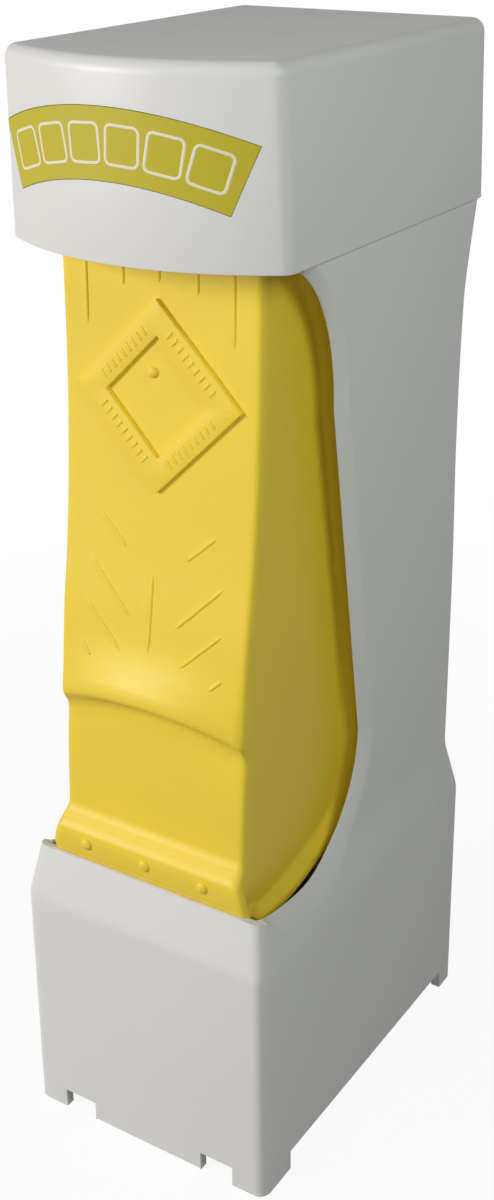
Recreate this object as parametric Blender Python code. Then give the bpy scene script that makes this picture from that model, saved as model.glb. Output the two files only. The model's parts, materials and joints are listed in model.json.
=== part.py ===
# Wire butter slicer
#
# A tall white housing takes a stick of butter from above. Squeezing the yellow
# lever swings it in about a pin under the lid, and its two lugs drive a frame
# with a taut wire through the foot of the stick. The cut pat drops out of the
# open base, and a spring brings the lever back.
#
# Frame: X is the width, -Y the front with the lever, +Z up. The origin is the
# middle of the base on the table. All sizes are real sizes in metres.

import math

import bmesh
import bpy
from mathutils import Matrix, Vector

MM = 0.001

# Clearances
TOUCH_GAP = 0.3 * MM
SIDE_GAP = 0.4 * MM
RUN_GAP = 0.5 * MM
STICK_GAP = 0.525 * MM
SWING_GAP = 1.0 * MM
SKIRT_GAP = 1.1 * MM
OVERRUN = 5.0 * MM
INSET = 0.05 * MM

# The stick of butter and the pat cut from it
STICK_SIDE = 31.75 * MM
PAT_THICKNESS = 7.5 * MM

# Walls
CHUTE_WALL = 1.3 * MM
LEVER_WALL = 1.5 * MM
HOUSING_WALL = 2.0 * MM
LID_WALL = 2.0 * MM

# Half-widths, from the stick outwards
FLANGE_FLARE = 2.2 * MM
TOWER_WIDEN = 1.1 * MM
LID_OVERHANG = 0.7 * MM
LID_TAPER = 1.1 * MM
SHOULDER_STEP = 2.0 * MM
BASE_DRAFT = 0.4 * MM
CHUTE_INNER = STICK_SIDE / 2 + STICK_GAP
CHUTE_HALF = CHUTE_INNER + CHUTE_WALL
LEVER_INNER = CHUTE_HALF + SWING_GAP
LEVER_HALF = LEVER_INNER + LEVER_WALL
FLANGE_HALF = LEVER_HALF + FLANGE_FLARE
TOWER_HALF = FLANGE_HALF + SKIRT_GAP + HOUSING_WALL
TOWER_TOP_HALF = TOWER_HALF + TOWER_WIDEN
LID_HALF = TOWER_TOP_HALF + LID_OVERHANG
BASE_HALF = TOWER_HALF + SHOULDER_STEP
FOOT_HALF = BASE_HALF + BASE_DRAFT

# Heights, from the table upwards
BASE_HEIGHT = 51.7 * MM
SHOULDER_HEIGHT = 11.3 * MM
TOWER_HEIGHT = 115.9 * MM
NECK_HEIGHT = 7.1 * MM
LID_SEAT_GAP = 0.4 * MM
LID_HEIGHT = 30.7 * MM
SHOULDER_TOP = BASE_HEIGHT + SHOULDER_HEIGHT
TOWER_TOP = SHOULDER_TOP + TOWER_HEIGHT
NECK_TOP = TOWER_TOP + NECK_HEIGHT
LID_BOTTOM = TOWER_TOP + LID_SEAT_GAP
LID_TOP = LID_BOTTOM + LID_HEIGHT

# Depths of the housing
TOWER_DEPTH_HALF = 38.1 * MM
SHOULDER_DEPTH = 2.6 * MM
DEPTH_DRAFT = 0.2 * MM
BACK_DIP = 3.5 * MM
BASE_DEPTH_HALF = TOWER_DEPTH_HALF + SHOULDER_DEPTH
FOOT_DEPTH_HALF = BASE_DEPTH_HALF + DEPTH_DRAFT
CORNER_RADIUS = 3.0 * MM
NECK_SETBACK = 1.9 * MM
NECK_BACK_SETBACK = 2.1 * MM
NECK_BACK = TOWER_DEPTH_HALF - NECK_BACK_SETBACK

# How far the back of the tower is drawn in, up its height
BACK_DIP_SHARES = (
    (0.0, 0.0), (0.24, 0.24), (0.38, 0.42), (0.60, 0.88),
    (0.75, 1.0), (0.84, 0.97), (0.93, 0.50), (1.0, 0.0),
)

# Top of the lever's face, and the side cut-out that the lever looks out of
FACE_SETBACK = 10.9 * MM
FACE_TOP_Y = -TOWER_DEPTH_HALF + FACE_SETBACK
RIM_FRONT_DROP = 0.7 * MM
RIM_DIP = 4.8 * MM
RIM_SILL = 18.6 * MM
RIM_BOTTOM_DEPTH = 19.8 * MM
RIM_BOTTOM_CORNER = 21.5 * MM
RIM_LEAN = 10.5 * MM
RIM_TOP_CORNER = 26.9 * MM
RIM_TOP_LEAD = 1.8 * MM
RIM_BOTTOM_Y = -TOWER_DEPTH_HALF + RIM_SILL
RIM_REAR_Y = RIM_BOTTOM_Y + RIM_BOTTOM_DEPTH
RIM_UPPER_Y = RIM_REAR_Y - RIM_LEAN
RIM_TOP_Y = FACE_TOP_Y - RIM_TOP_LEAD
RIM_FRONT_Z = SHOULDER_TOP - RIM_FRONT_DROP
RIM_BOTTOM_Z = RIM_FRONT_Z - RIM_DIP

# Feet and the tab at the front of the base
FOOT_HEIGHT = 4.4 * MM
FOOT_WIDTH = 7.4 * MM
FOOT_FRONT_LENGTH = 9.9 * MM
FOOT_BACK_LENGTH = 6.4 * MM
TAB_HALF = 13.0 * MM
TAB_LIFT = 0.4 * MM

# Lever pin, and how far the lever swings
LEVER_PIN_SETBACK = 5.2 * MM
LEVER_PIN_RISE = 4.1 * MM
CHEEK_LEAD = 5.5 * MM
LEVER_PIN_Y = FACE_TOP_Y + LEVER_PIN_SETBACK
NECK_FRONT_Y = LEVER_PIN_Y - CHEEK_LEAD
LEVER_PIN_Z = TOWER_TOP + LEVER_PIN_RISE
LEVER_PIN_RADIUS = 2.0 * MM
BARREL_RADIUS = 4.0 * MM
LEVER_SWING = math.radians(14.2)

# Chute and its collar
COLLAR_THICKNESS = 2.0 * MM
COLLAR_LEAD = 9.9 * MM
CHUTE_BACK_IN = TOWER_DEPTH_HALF - BACK_DIP - HOUSING_WALL - TOUCH_GAP - CHUTE_WALL
CHUTE_FRONT_IN = CHUTE_BACK_IN - 2 * CHUTE_INNER
CHUTE_FRONT = CHUTE_FRONT_IN - CHUTE_WALL
CHUTE_BACK = CHUTE_BACK_IN + CHUTE_WALL
COLLAR_FRONT_Y = CHUTE_FRONT - COLLAR_LEAD
COLLAR_BOTTOM = NECK_TOP + TOUCH_GAP
CHUTE_TOP = COLLAR_BOTTOM + COLLAR_THICKNESS

# Neck that carries the lid, the chute and the lever pin
NECK_HALF = TOWER_TOP_HALF - NECK_SETBACK
NECK_INNER = NECK_HALF - HOUSING_WALL

# Screws
SCREW_HEAD_RADIUS = 1.8 * MM
SCREW_HEAD_HEIGHT = 1.3 * MM
SCREW_RADIUS = 1.0 * MM
SCREW_RECESS_SHARE = 0.5
SCREW_EDGE_SHARE = 0.2
SCREW_LENGTH = 7.0 * MM
RAIL_SCREW_LENGTH = 5.6 * MM
WIRE_SCREW_LENGTH = 4.6 * MM
SMALL_HEAD_RADIUS = 1.25 * MM
SMALL_HEAD_HEIGHT = 0.9 * MM
SMALL_SCREW_RADIUS = 0.6 * MM
HOLE_RADIUS = SCREW_RADIUS + TOUCH_GAP
SMALL_HOLE_RADIUS = SMALL_SCREW_RADIUS + TOUCH_GAP
BOSS_RADIUS = 2.5 * MM
BOSS_FRONT_SETBACK = 5.0 * MM
BOSS_BACK_SETBACK = 2.8 * MM
BOSS_FRONT_Y = COLLAR_FRONT_Y + BOSS_FRONT_SETBACK
BOSS_BACK_Y = CHUTE_BACK - BOSS_BACK_SETBACK
BOSS_X = CHUTE_HALF + RUN_GAP + BOSS_RADIUS
BOSS_DEPTH = 9.0 * MM

# Cutter, hung below the chute
SHUTTER_DROP = 0.5 * MM
SHUTTER_THICKNESS = 0.9 * MM
CUTTER_HEIGHT = 3.9 * MM
CHUTE_RISE = 0.2 * MM
CHUTE_BOTTOM = BASE_HEIGHT + CHUTE_RISE
SHUTTER_TOP = CHUTE_BOTTOM - SHUTTER_DROP
SHUTTER_BOTTOM = SHUTTER_TOP - SHUTTER_THICKNESS
CUTTER_TOP = SHUTTER_BOTTOM - TOUCH_GAP
CUTTER_BOTTOM = CUTTER_TOP - CUTTER_HEIGHT
CUTTER_INNER = CHUTE_INNER + RUN_GAP
CUTTER_EDGE = 1.9 * MM
CUTTER_BAR = 2.8 * MM
CUTTER_FRONT = -(BASE_DEPTH_HALF - HOUSING_WALL - RUN_GAP)
CUTTER_TAIL = 5.15 * MM
SHUTTER_HALF = LEVER_INNER - RUN_GAP
SHUTTER_SCREW_X = 10.0 * MM
WIRE_RADIUS = 0.25 * MM
WIRE_LEAD = 0.45 * MM
WIRE_Y = CHUTE_FRONT_IN - RUN_GAP
WIRE_Z = CUTTER_TOP + TOUCH_GAP + WIRE_RADIUS
WIRE_LOOP_RADIUS = SCREW_RADIUS + TOUCH_GAP + WIRE_RADIUS
WIRE_SCREW_X = CHUTE_HALF + RUN_GAP + SCREW_HEAD_RADIUS
WIRE_SCREW_Y = WIRE_Y + WIRE_LOOP_RADIUS
CUTTER_HALF = WIRE_SCREW_X + CUTTER_EDGE
CUTTER_REAR = WIRE_SCREW_Y + CUTTER_TAIL
WASHER_THICKNESS = 0.5 * MM
WASHER_BOTTOM = WIRE_Z + WIRE_RADIUS + TOUCH_GAP
SHUTTER_EDGE_Y = WIRE_Y - WIRE_RADIUS - WIRE_LEAD

# Lugs on the lever, and the slots that they drive
LUG_LENGTH = 4.0 * MM
LUG_SETBACK = 5.2 * MM
LUG_Y = CUTTER_FRONT + LUG_SETBACK
LUG_REACH = 0.7 * MM
CUTTER_MIDDLE = (CUTTER_TOP + CUTTER_BOTTOM) / 2

# Rails that carry the cutter frame
RAIL_LEDGE = 1.0 * MM
RAIL_HEIGHT = 2.0 * MM
RAIL_END_GAP = 2.7 * MM
RAIL_BOSS_SETBACK = 8.0 * MM
RAIL_HALF_LENGTH = BASE_DEPTH_HALF - HOUSING_WALL - RAIL_END_GAP
RAIL_TOP = CUTTER_BOTTOM - TOUCH_GAP
RAIL_BOTTOM = RAIL_TOP - RAIL_HEIGHT
RAIL_INNER = CUTTER_HALF - RAIL_LEDGE
RAIL_OUTER = BASE_HALF - HOUSING_WALL - TOUCH_GAP
RAIL_BOSS_INNER = CUTTER_HALF + SIDE_GAP
RAIL_BOSS_HALF = 3.0 * MM
RAIL_BOSS_Y = RAIL_HALF_LENGTH - RAIL_BOSS_SETBACK
RAIL_SCREW_X = RAIL_OUTER - SMALL_HEAD_RADIUS

# Stop that the stick stands on
STOP_HALF = 8.0 * MM
STOP_LEDGE = 6.0 * MM
STOP_THICKNESS = 1.5 * MM
STOP_HEIGHT = 12.5 * MM
STOP_SCREW_X = 5.0 * MM
STOP_SCREW_DROP = 7.5 * MM
STOP_TOP = WIRE_Z - PAT_THICKNESS
STOP_FRONT_Y = CHUTE_BACK_IN - STOP_LEDGE
STOP_PLATE_Y = CHUTE_BACK
STOP_PLATE_BACK = STOP_PLATE_Y + STOP_THICKNESS
STOP_SCREW_Z = STOP_TOP - STOP_SCREW_DROP

# Lever face, seen from the front
LIP_SETBACK = 0.1 * MM
FACE_DEPTH = FACE_SETBACK - LIP_SETBACK
FACE_ABOVE_SEAT = 2.3 * MM
LIP_GAP = 0.7 * MM
LIP_BOTTOM = RIM_FRONT_Z + LIP_GAP
FACE_TOP = TOWER_TOP + FACE_ABOVE_SEAT
FACE_BOW = 4.0 * MM

# Rows of the face from the lip up: height, depth, bow, middle bulge and flare,
# each as a share of the face's height, depth, bow, depth and flange flare
FACE_ROW_SHARES = (
    (0.000, 0.94, 0.00, 0.00, 1.00),
    (0.025, 0.99, 0.00, 0.00, 1.00),
    (0.050, 1.00, 0.00, 0.00, 0.90),
    (0.064, 0.88, 0.00, 0.00, 0.35),
    (0.077, 0.74, 0.00, 0.00, 0.00),
    (0.160, 0.66, 0.20, 0.00, 0.00),
    (0.255, 0.59, 0.75, 0.00, 0.00),
    (0.290, 0.58, 1.00, 0.00, 0.00),
    (0.300, 0.69, 1.00, 0.10, 0.00),
    (0.340, 0.66, 0.80, 0.12, 0.00),
    (0.375, 0.59, 0.45, 0.05, 0.00),
    (0.420, 0.53, 0.00, 0.00, 0.00),
    (0.530, 0.33, 0.00, 0.00, 0.00),
    (0.660, 0.165, 0.00, 0.00, 0.00),
    (0.810, 0.055, 0.00, 0.00, 0.00),
    (1.000, 0.00, 0.00, 0.00, 0.00),
)
FACE_COLUMNS = 10

# Side of the lever: the crease that its flange springs from
FLANGE_WIDTH = 2.7 * MM
CREASE_TOP_DROP = 4.4 * MM
CREASE_TOP_SETBACK = 0.2 * MM
CREASE_TOP_Y = FACE_TOP_Y + CREASE_TOP_SETBACK
CREASE_TOP_DEPTH = 15.8 * MM
CREASE_TOP_CORNER = 16.5 * MM
CREASE_TOP_ANGLE = 82
CREASE_REAR_SETBACK = 0.8 * MM
CREASE_REAR_Y = RIM_REAR_Y + CREASE_REAR_SETBACK
CREASE_BOTTOM_DEPTH = 10.6 * MM
CREASE_BOTTOM_CORNER = 14.0 * MM
CREASE_BOW = 0.9 * MM
SKIRT_LIFT = 1.1 * MM
CREASE_BOTTOM = CUTTER_TOP + SKIRT_LIFT + FLANGE_WIDTH
CREASE_FRONT_DEPTH = 7.0 * MM
CREASE_FRONT_CORNER = 10.0 * MM
CREASE_FRONT_SETBACK = 4.0 * MM
CREASE_FRONT_Y = FACE_TOP_Y - FACE_DEPTH + CREASE_FRONT_SETBACK
CREASE_FRONT_RISE = 2.0 * MM

# Raised diamond on the lever
DIAMOND_DROP = 24.4 * MM
DIAMOND_HALF = 16.75 * MM
DIAMOND_INNER = 10.55 * MM
DIAMOND_HEIGHT = 0.8 * MM
DIAMOND_SINK = 0.2 * MM
DIAMOND_Z = TOWER_TOP - DIAMOND_DROP

# Return spring between the chute and the lever
SPRING_DROP = 38.9 * MM
SPRING_Z = TOWER_TOP - SPRING_DROP
SPRING_WIRE = 0.5 * MM
SPIGOT_RADIUS = 3.0 * MM
SPIGOT_LENGTH = 4.0 * MM
LEVER_SPIGOT_LENGTH = 2.5 * MM
SPRING_TURNS = 7
SPRING_POINTS = 10
SPRING_RADIUS = SPIGOT_RADIUS + TOUCH_GAP + SPRING_WIRE

# Lid
LID_CORNER_SETBACK = 7.6 * MM
LID_BACK_OVERHANG = 0.4 * MM
VISOR_GAP = 2.3 * MM
LID_FRONT_CORNER_Y = -TOWER_DEPTH_HALF + LID_CORNER_SETBACK
LID_FRONT_BULGE = 8.5 * MM
LID_BACK = TOWER_DEPTH_HALF + LID_BACK_OVERHANG
LID_FRONT_RADIUS = 4.5 * MM
LID_BACK_RADIUS = 3.0 * MM
LID_EDGE_RADIUS = 2.0 * MM
VISOR_THICKNESS = 1.5 * MM
VISOR_BACK_Y = FACE_TOP_Y - VISOR_GAP

# Lid hinge at the back
HINGE_PIN_RADIUS = 1.0 * MM
KNUCKLE_RADIUS = 2.0 * MM
HINGE_SETBACK = 0.1 * MM
HINGE_Y = LID_BACK + HINGE_SETBACK
HINGE_Z = TOWER_TOP + HINGE_SETBACK
KNUCKLE_WIDTH = 6.2 * MM
KNUCKLE_PITCH = KNUCKLE_WIDTH + SIDE_GAP

# Badge let into the front of the lid
BADGE_RADIUS = 77.7 * MM
BADGE_WIDTH = 11.6 * MM
BADGE_DROP = 8.2 * MM
BADGE_SPREAD = math.radians(18.0)
BADGE_THICKNESS = 0.6 * MM
BADGE_TOP = LID_TOP - BADGE_DROP
BADGE_CENTRE_Z = BADGE_TOP - BADGE_RADIUS

# How finely round things are drawn
ROUND_STEPS = 16
PIN_STEPS = 24
CORNER_STEPS = 4
CURVE_STEPS = 8
BADGE_STEPS = 14
SHARP_ANGLE = math.radians(35.0)

# Colour, roughness and metal of each finish
FINISHES = {
    "white_plastic": ((0.80, 0.79, 0.76, 1.0), 0.25, 0.0),
    "yellow_plastic": ((0.85, 0.66, 0.05, 1.0), 0.45, 0.0),
    "badge_print": ((0.58, 0.50, 0.02, 1.0), 0.35, 0.0),
    "inner_plastic": ((0.70, 0.70, 0.67, 1.0), 0.35, 0.0),
    "steel": ((0.62, 0.62, 0.60, 1.0), 0.25, 1.0),
}


def clear_scene():
    """Remove every object that the file opened with."""
    for item in list(bpy.data.objects):
        bpy.data.objects.remove(item, do_unlink=True)


def finish(slot):
    """The material of a finish, made the first time it is asked for."""
    found = bpy.data.materials.get(slot)
    if found:
        return found
    color, roughness, metallic = FINISHES[slot]
    made = bpy.data.materials.new(slot)
    made.use_nodes = True
    shader = made.node_tree.nodes["Principled BSDF"]
    shader.inputs["Base Color"].default_value = color
    shader.inputs["Roughness"].default_value = roughness
    shader.inputs["Metallic"].default_value = metallic
    return made


def solid(name, points, faces):
    """A closed mesh object with flat faces that point outwards."""
    mesh = bpy.data.meshes.new(name)
    mesh.from_pydata([tuple(point) for point in points], [], faces)
    shape = bmesh.new()
    shape.from_mesh(mesh)
    bmesh.ops.recalc_face_normals(shape, faces=shape.faces)
    bmesh.ops.triangulate(shape, faces=shape.faces)
    shape.to_mesh(mesh)
    shape.free()
    body = bpy.data.objects.new(name, mesh)
    bpy.context.scene.collection.objects.link(body)
    return body


def loft(name, rings, looped=False):
    """Skin over rings of equally many points, capped unless it is looped."""
    count = len(rings[0])
    points = [point for ring in rings for point in ring]
    faces = []
    last = len(rings) if looped else len(rings) - 1
    for row in range(last):
        low = row * count
        high = (row + 1) % len(rings) * count
        for column in range(count):
            after = (column + 1) % count
            faces.append((low + column, low + after, high + after, high + column))
    if not looped:
        faces.append(tuple(range(count)))
        faces.append(tuple(len(points) - count + column for column in range(count)))
    return solid(name, points, faces)


def block(name, low, high):
    """A box between two corners."""
    ring = ((low[0], low[1]), (high[0], low[1]), (high[0], high[1]), (low[0], high[1]))
    return loft(name, [[(x, y, z) for x, y in ring] for z in (low[2], high[2])])


def slab(name, outline, start, end):
    """An outline of (y, z) points, run along X."""
    return loft(name, [[(x, y, z) for y, z in outline] for x in (start, end)])


def turned(name, profile, place, direction, steps=ROUND_STEPS, looped=False):
    """A profile of (radius, distance) points, turned about a line."""
    turn = Vector(direction).to_track_quat("Z", "Y").to_matrix()
    rings = []
    for radius, along in profile:
        ring = []
        for step in range(steps):
            angle = math.tau * step / steps
            point = Vector((radius * math.cos(angle), radius * math.sin(angle), along))
            ring.append(turn @ point + Vector(place))
        rings.append(ring)
    return loft(name, rings, looped)


def rod(name, radius, start, end, steps=ROUND_STEPS):
    """A round bar between two points."""
    span = Vector(end) - Vector(start)
    return turned(name, ((radius, 0), (radius, span.length)), start, span, steps)


def combine(body, tools, operation):
    """Join, cut or keep what a body shares with other shapes, and remove those."""
    for tool in tools:
        change = body.modifiers.new("combine", "BOOLEAN")
        change.operation = operation
        change.solver = "EXACT"
        change.object = tool
        bpy.context.view_layer.update()
        shaped = body.evaluated_get(bpy.context.evaluated_depsgraph_get())
        mesh = bpy.data.meshes.new_from_object(shaped)
        body.modifiers.clear()
        body.data = mesh
        bpy.data.objects.remove(tool, do_unlink=True)
    return body


def fuse(body, *tools):
    return combine(body, tools, "UNION")


def carve(body, *tools):
    return combine(body, tools, "DIFFERENCE")


def done(body, slot, joint=None):
    """Name, finish and smooth a piece, and hang it on its joint's empty."""
    body.data.name = body.name
    body.data.materials.clear()
    body.data.materials.append(finish(slot))
    if body.type == "MESH":
        body.data.shade_smooth()
        body.data.set_sharp_from_angle(angle=SHARP_ANGLE)
        if joint:
            body.data.transform(Matrix.Translation(-joint.location))
    if joint:
        body.parent = joint
    return body


def joint_empty(name, place):
    """An empty on a joint's axis, which its moving pieces hang on."""
    empty = bpy.data.objects.new(name, None)
    empty.location = place
    bpy.context.scene.collection.objects.link(empty)
    bpy.context.view_layer.update()
    return empty


def share_at(shares, where):
    """Straight-line reading of a table of shares."""
    for (start, low), (end, high) in zip(shares, shares[1:]):
        if where <= end:
            return low + (high - low) * (where - start) / (end - start)
    return shares[-1][1]


def ellipse_arc(centre, across, up, start, end, steps=CURVE_STEPS):
    """Points of an elliptical corner from one angle to another, in degrees."""
    arc = []
    for step in range(steps + 1):
        angle = math.radians(start + (end - start) * step / steps)
        arc.append((centre[0] + across * math.cos(angle), centre[1] + up * math.sin(angle)))
    return arc


def rounded(corners, radii, steps=CORNER_STEPS):
    """An outline whose corners are rounded, each by its own radius."""
    outline = []
    count = len(corners)
    for index, radius in enumerate(radii):
        corner = Vector(corners[index])
        if not radius:
            outline.append(tuple(corner))
            continue
        back = (Vector(corners[index - 1]) - corner).normalized()
        ahead = (Vector(corners[(index + 1) % count]) - corner).normalized()
        half = back.angle(ahead) / 2
        middle = corner + (back + ahead).normalized() * (radius / math.sin(half))
        start = corner + back * (radius / math.tan(half)) - middle
        sweep = start.angle_signed(corner + ahead * (radius / math.tan(half)) - middle)
        for step in range(steps + 1):
            turn = Matrix.Rotation(-sweep * step / steps, 2)
            outline.append(tuple(middle + turn @ start))
    return outline


def box_ring(half, front, back, radius, height):
    """A level ring of a rounded rectangle."""
    corners = ((half, front), (half, back), (-half, back), (-half, front))
    outline = rounded(corners, (radius,) * len(corners))
    return [(x, y, height) for x, y in outline]


def tower_half(height):
    """Outer half-width of the tower at a height."""
    return TOWER_HALF + TOWER_WIDEN * (height - SHOULDER_TOP) / TOWER_HEIGHT


def tower_back(height):
    """Outer back of the tower at a height, drawn in at the waist."""
    share = (height - SHOULDER_TOP) / TOWER_HEIGHT
    return TOWER_DEPTH_HALF - BACK_DIP * share_at(BACK_DIP_SHARES, share)


def housing_levels():
    """Half-width, front, back and height of each level of the outer skin."""
    levels = [
        (FOOT_HALF, -FOOT_DEPTH_HALF, FOOT_DEPTH_HALF, 0),
        (BASE_HALF, -BASE_DEPTH_HALF, BASE_DEPTH_HALF, BASE_HEIGHT),
    ]
    for share, _ in BACK_DIP_SHARES:
        height = SHOULDER_TOP + TOWER_HEIGHT * share
        levels.append((tower_half(height), -TOWER_DEPTH_HALF, tower_back(height), height))
    return levels


def housing_shell():
    """Outer skin up, over the neck's top, and down the inner skin."""
    outer = []
    inner = []
    for half, front, back, height in housing_levels():
        outer.append(box_ring(half, front, back, CORNER_RADIUS, height))
        inner.append(box_ring(
            half - HOUSING_WALL, front + HOUSING_WALL, back - HOUSING_WALL,
            CORNER_RADIUS - HOUSING_WALL, height,
        ))
    inner.pop()
    neck = (-TOWER_DEPTH_HALF, NECK_BACK, CORNER_RADIUS)
    outer.append(box_ring(NECK_HALF, *neck, TOWER_TOP))
    outer.append(box_ring(NECK_HALF, *neck, NECK_TOP))
    hollow = (-TOWER_DEPTH_HALF + HOUSING_WALL, NECK_BACK - HOUSING_WALL)
    hollow += (CORNER_RADIUS - HOUSING_WALL,)
    inner.append(box_ring(NECK_INNER, *hollow, TOWER_TOP - HOUSING_WALL))
    inner.append(box_ring(NECK_INNER, *hollow, NECK_TOP))
    return loft("housing", outer + inner[::-1], looped=True)


def rim_outline():
    """Rim of the side cut-out, from the front of the base up to the lid."""
    rim = []
    for step in range(CURVE_STEPS):
        share = step / CURVE_STEPS
        y = -TOWER_DEPTH_HALF + (RIM_BOTTOM_Y + TOWER_DEPTH_HALF) * share
        rim.append((y, RIM_BOTTOM_Z + RIM_DIP * (1 - share) ** 2))
    low = (RIM_BOTTOM_Y, RIM_BOTTOM_Z + RIM_BOTTOM_CORNER)
    rim += ellipse_arc(low, RIM_REAR_Y - RIM_BOTTOM_Y, RIM_BOTTOM_CORNER, -90, 0)
    high = (RIM_TOP_Y, TOWER_TOP - RIM_TOP_CORNER)
    rim += ellipse_arc(high, RIM_UPPER_Y - RIM_TOP_Y, RIM_TOP_CORNER, 0, 90)
    return rim


def front_cutter():
    """All that is taken away in front of the rim and of the neck."""
    ahead = -FOOT_DEPTH_HALF - OVERRUN
    above = NECK_TOP + OVERRUN
    outline = [(ahead, RIM_FRONT_Z)] + rim_outline()
    outline += [(NECK_FRONT_Y, TOWER_TOP), (NECK_FRONT_Y, above), (ahead, above)]
    return slab("front_cutter", outline, -FOOT_HALF - OVERRUN, FOOT_HALF + OVERRUN)


def foot_cutters():
    """Arches that leave four feet and the front tab."""
    side = FOOT_HALF + OVERRUN
    depth = FOOT_DEPTH_HALF + OVERRUN
    arch_front = -FOOT_DEPTH_HALF + FOOT_FRONT_LENGTH
    arch_back = FOOT_DEPTH_HALF - FOOT_BACK_LENGTH
    foot = FOOT_HALF - FOOT_WIDTH
    cutters = [
        block("side_arch", (-side, arch_front, -OVERRUN), (side, arch_back, FOOT_HEIGHT)),
        block("back_arch", (-foot, 0, -OVERRUN), (foot, depth, FOOT_HEIGHT)),
        block("tab_foot", (-TAB_HALF, -depth, -OVERRUN), (TAB_HALF, 0, TAB_LIFT)),
    ]
    for low, high in ((-foot, -TAB_HALF), (TAB_HALF, foot)):
        cutters.append(block("front_arch", (low, -depth, -OVERRUN), (high, 0, FOOT_HEIGHT)))
    return cutters


def chute_boss_places():
    """Where the chute's four screws go down into the neck."""
    return [(side * BOSS_X, y) for y in (BOSS_FRONT_Y, BOSS_BACK_Y) for side in (-1, 1)]


def rail_boss_places():
    """Where the rails' four screws go up into the base."""
    return [(side, end * RAIL_BOSS_Y) for end in (-1, 1) for side in (-1, 1)]


def knuckle_spans(count, first):
    """Spans of every other hinge knuckle along X."""
    spans = []
    for index in range(count):
        middle = (first + 2 * index) * KNUCKLE_PITCH
        spans.append((middle - KNUCKLE_WIDTH / 2, middle + KNUCKLE_WIDTH / 2))
    return spans


LID_KNUCKLES = knuckle_spans(3, -2)
HOUSING_KNUCKLES = knuckle_spans(2, -1)


def hinge_rods(name, spans, radius, spare=0):
    """Round bars on the lid hinge's axis, one over each span."""
    rods = []
    for start, end in spans:
        ends = ((start - spare, HINGE_Y, HINGE_Z), (end + spare, HINGE_Y, HINGE_Z))
        rods.append(rod(name, radius, *ends))
    return rods


def make_housing():
    """One white shell: base, shoulder, tower and the neck under the lid."""
    body = carve(housing_shell(), front_cutter(), *foot_cutters())
    root = TOWER_TOP - HOUSING_WALL
    for x, y in chute_boss_places():
        fuse(body, rod("boss", BOSS_RADIUS, (x, y, root), (x, y, NECK_TOP - INSET)))
    for side, y in rail_boss_places():
        wall = side * (BASE_HALF - HOUSING_WALL / 2)
        low = min(side * RAIL_BOSS_INNER, wall)
        high = max(side * RAIL_BOSS_INNER, wall)
        fuse(body, block(
            "rail_boss",
            (low, y - RAIL_BOSS_HALF, RAIL_TOP + TOUCH_GAP),
            (high, y + RAIL_BOSS_HALF, CUTTER_TOP),
        ))
    for side in (-1, 1):
        start = (side * STOP_SCREW_X, STOP_PLATE_BACK + TOUCH_GAP, STOP_SCREW_Z)
        end = (side * STOP_SCREW_X, BASE_DEPTH_HALF - HOUSING_WALL / 2, STOP_SCREW_Z)
        fuse(body, rod("stop_boss", BOSS_RADIUS, start, end))
    fuse(body, *hinge_rods("knuckle", HOUSING_KNUCKLES, KNUCKLE_RADIUS))
    carve(body, *hinge_rods("notch", LID_KNUCKLES, KNUCKLE_RADIUS + SIDE_GAP, SIDE_GAP))
    span = KNUCKLE_PITCH * 3
    hole = HINGE_PIN_RADIUS + TOUCH_GAP
    carve(body, *hinge_rods("hinge_hole", [(-span, span)], hole))
    carve_housing_holes(body)
    return done(body, "white_plastic")


def carve_housing_holes(body):
    """Holes for the chute, rail and stop screws and for the lever pin."""
    for x, y in chute_boss_places():
        ends = ((x, y, NECK_TOP - BOSS_DEPTH + RUN_GAP), (x, y, NECK_TOP + OVERRUN))
        carve(body, rod("chute_hole", HOLE_RADIUS, *ends))
    for side, y in rail_boss_places():
        x = side * RAIL_SCREW_X
        ends = ((x, y, RAIL_TOP - OVERRUN), (x, y, CUTTER_TOP - TOUCH_GAP))
        carve(body, rod("rail_hole", SMALL_HOLE_RADIUS, *ends))
    for side in (-1, 1):
        x = side * STOP_SCREW_X
        end = BASE_DEPTH_HALF - HOUSING_WALL + RUN_GAP
        carve(body, rod(
            "stop_hole", HOLE_RADIUS,
            (x, STOP_PLATE_BACK, STOP_SCREW_Z), (x, end, STOP_SCREW_Z),
        ))
    side = TOWER_HALF + OVERRUN
    ends = ((-side, LEVER_PIN_Y, LEVER_PIN_Z), (side, LEVER_PIN_Y, LEVER_PIN_Z))
    carve(body, rod("pin_hole", LEVER_PIN_RADIUS + TOUCH_GAP, *ends, PIN_STEPS))


def make_chute():
    """Square tube that guides the stick, hung by its collar from the neck."""
    body = block(
        "butter_chute",
        (-CHUTE_HALF, CHUTE_FRONT, CHUTE_BOTTOM), (CHUTE_HALF, CHUTE_BACK, CHUTE_TOP),
    )
    collar = block(
        "collar",
        (-NECK_HALF, COLLAR_FRONT_Y, COLLAR_BOTTOM),
        (NECK_HALF, NECK_BACK, CHUTE_TOP - INSET),
    )
    spigot = rod(
        "spigot", SPIGOT_RADIUS,
        (0, CHUTE_FRONT + CHUTE_WALL / 2, SPRING_Z),
        (0, CHUTE_FRONT - SPIGOT_LENGTH, SPRING_Z),
    )
    bore = block(
        "bore",
        (-CHUTE_INNER, CHUTE_FRONT_IN, CHUTE_BOTTOM - OVERRUN),
        (CHUTE_INNER, CHUTE_BACK_IN, CHUTE_TOP + OVERRUN),
    )
    fuse(body, collar, spigot)
    carve(body, bore)
    for x, y in chute_boss_places():
        ends = ((x, y, COLLAR_BOTTOM - OVERRUN), (x, y, CHUTE_TOP + OVERRUN))
        carve(body, rod("screw_hole", HOLE_RADIUS, *ends))
    return done(body, "inner_plastic")


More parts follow.
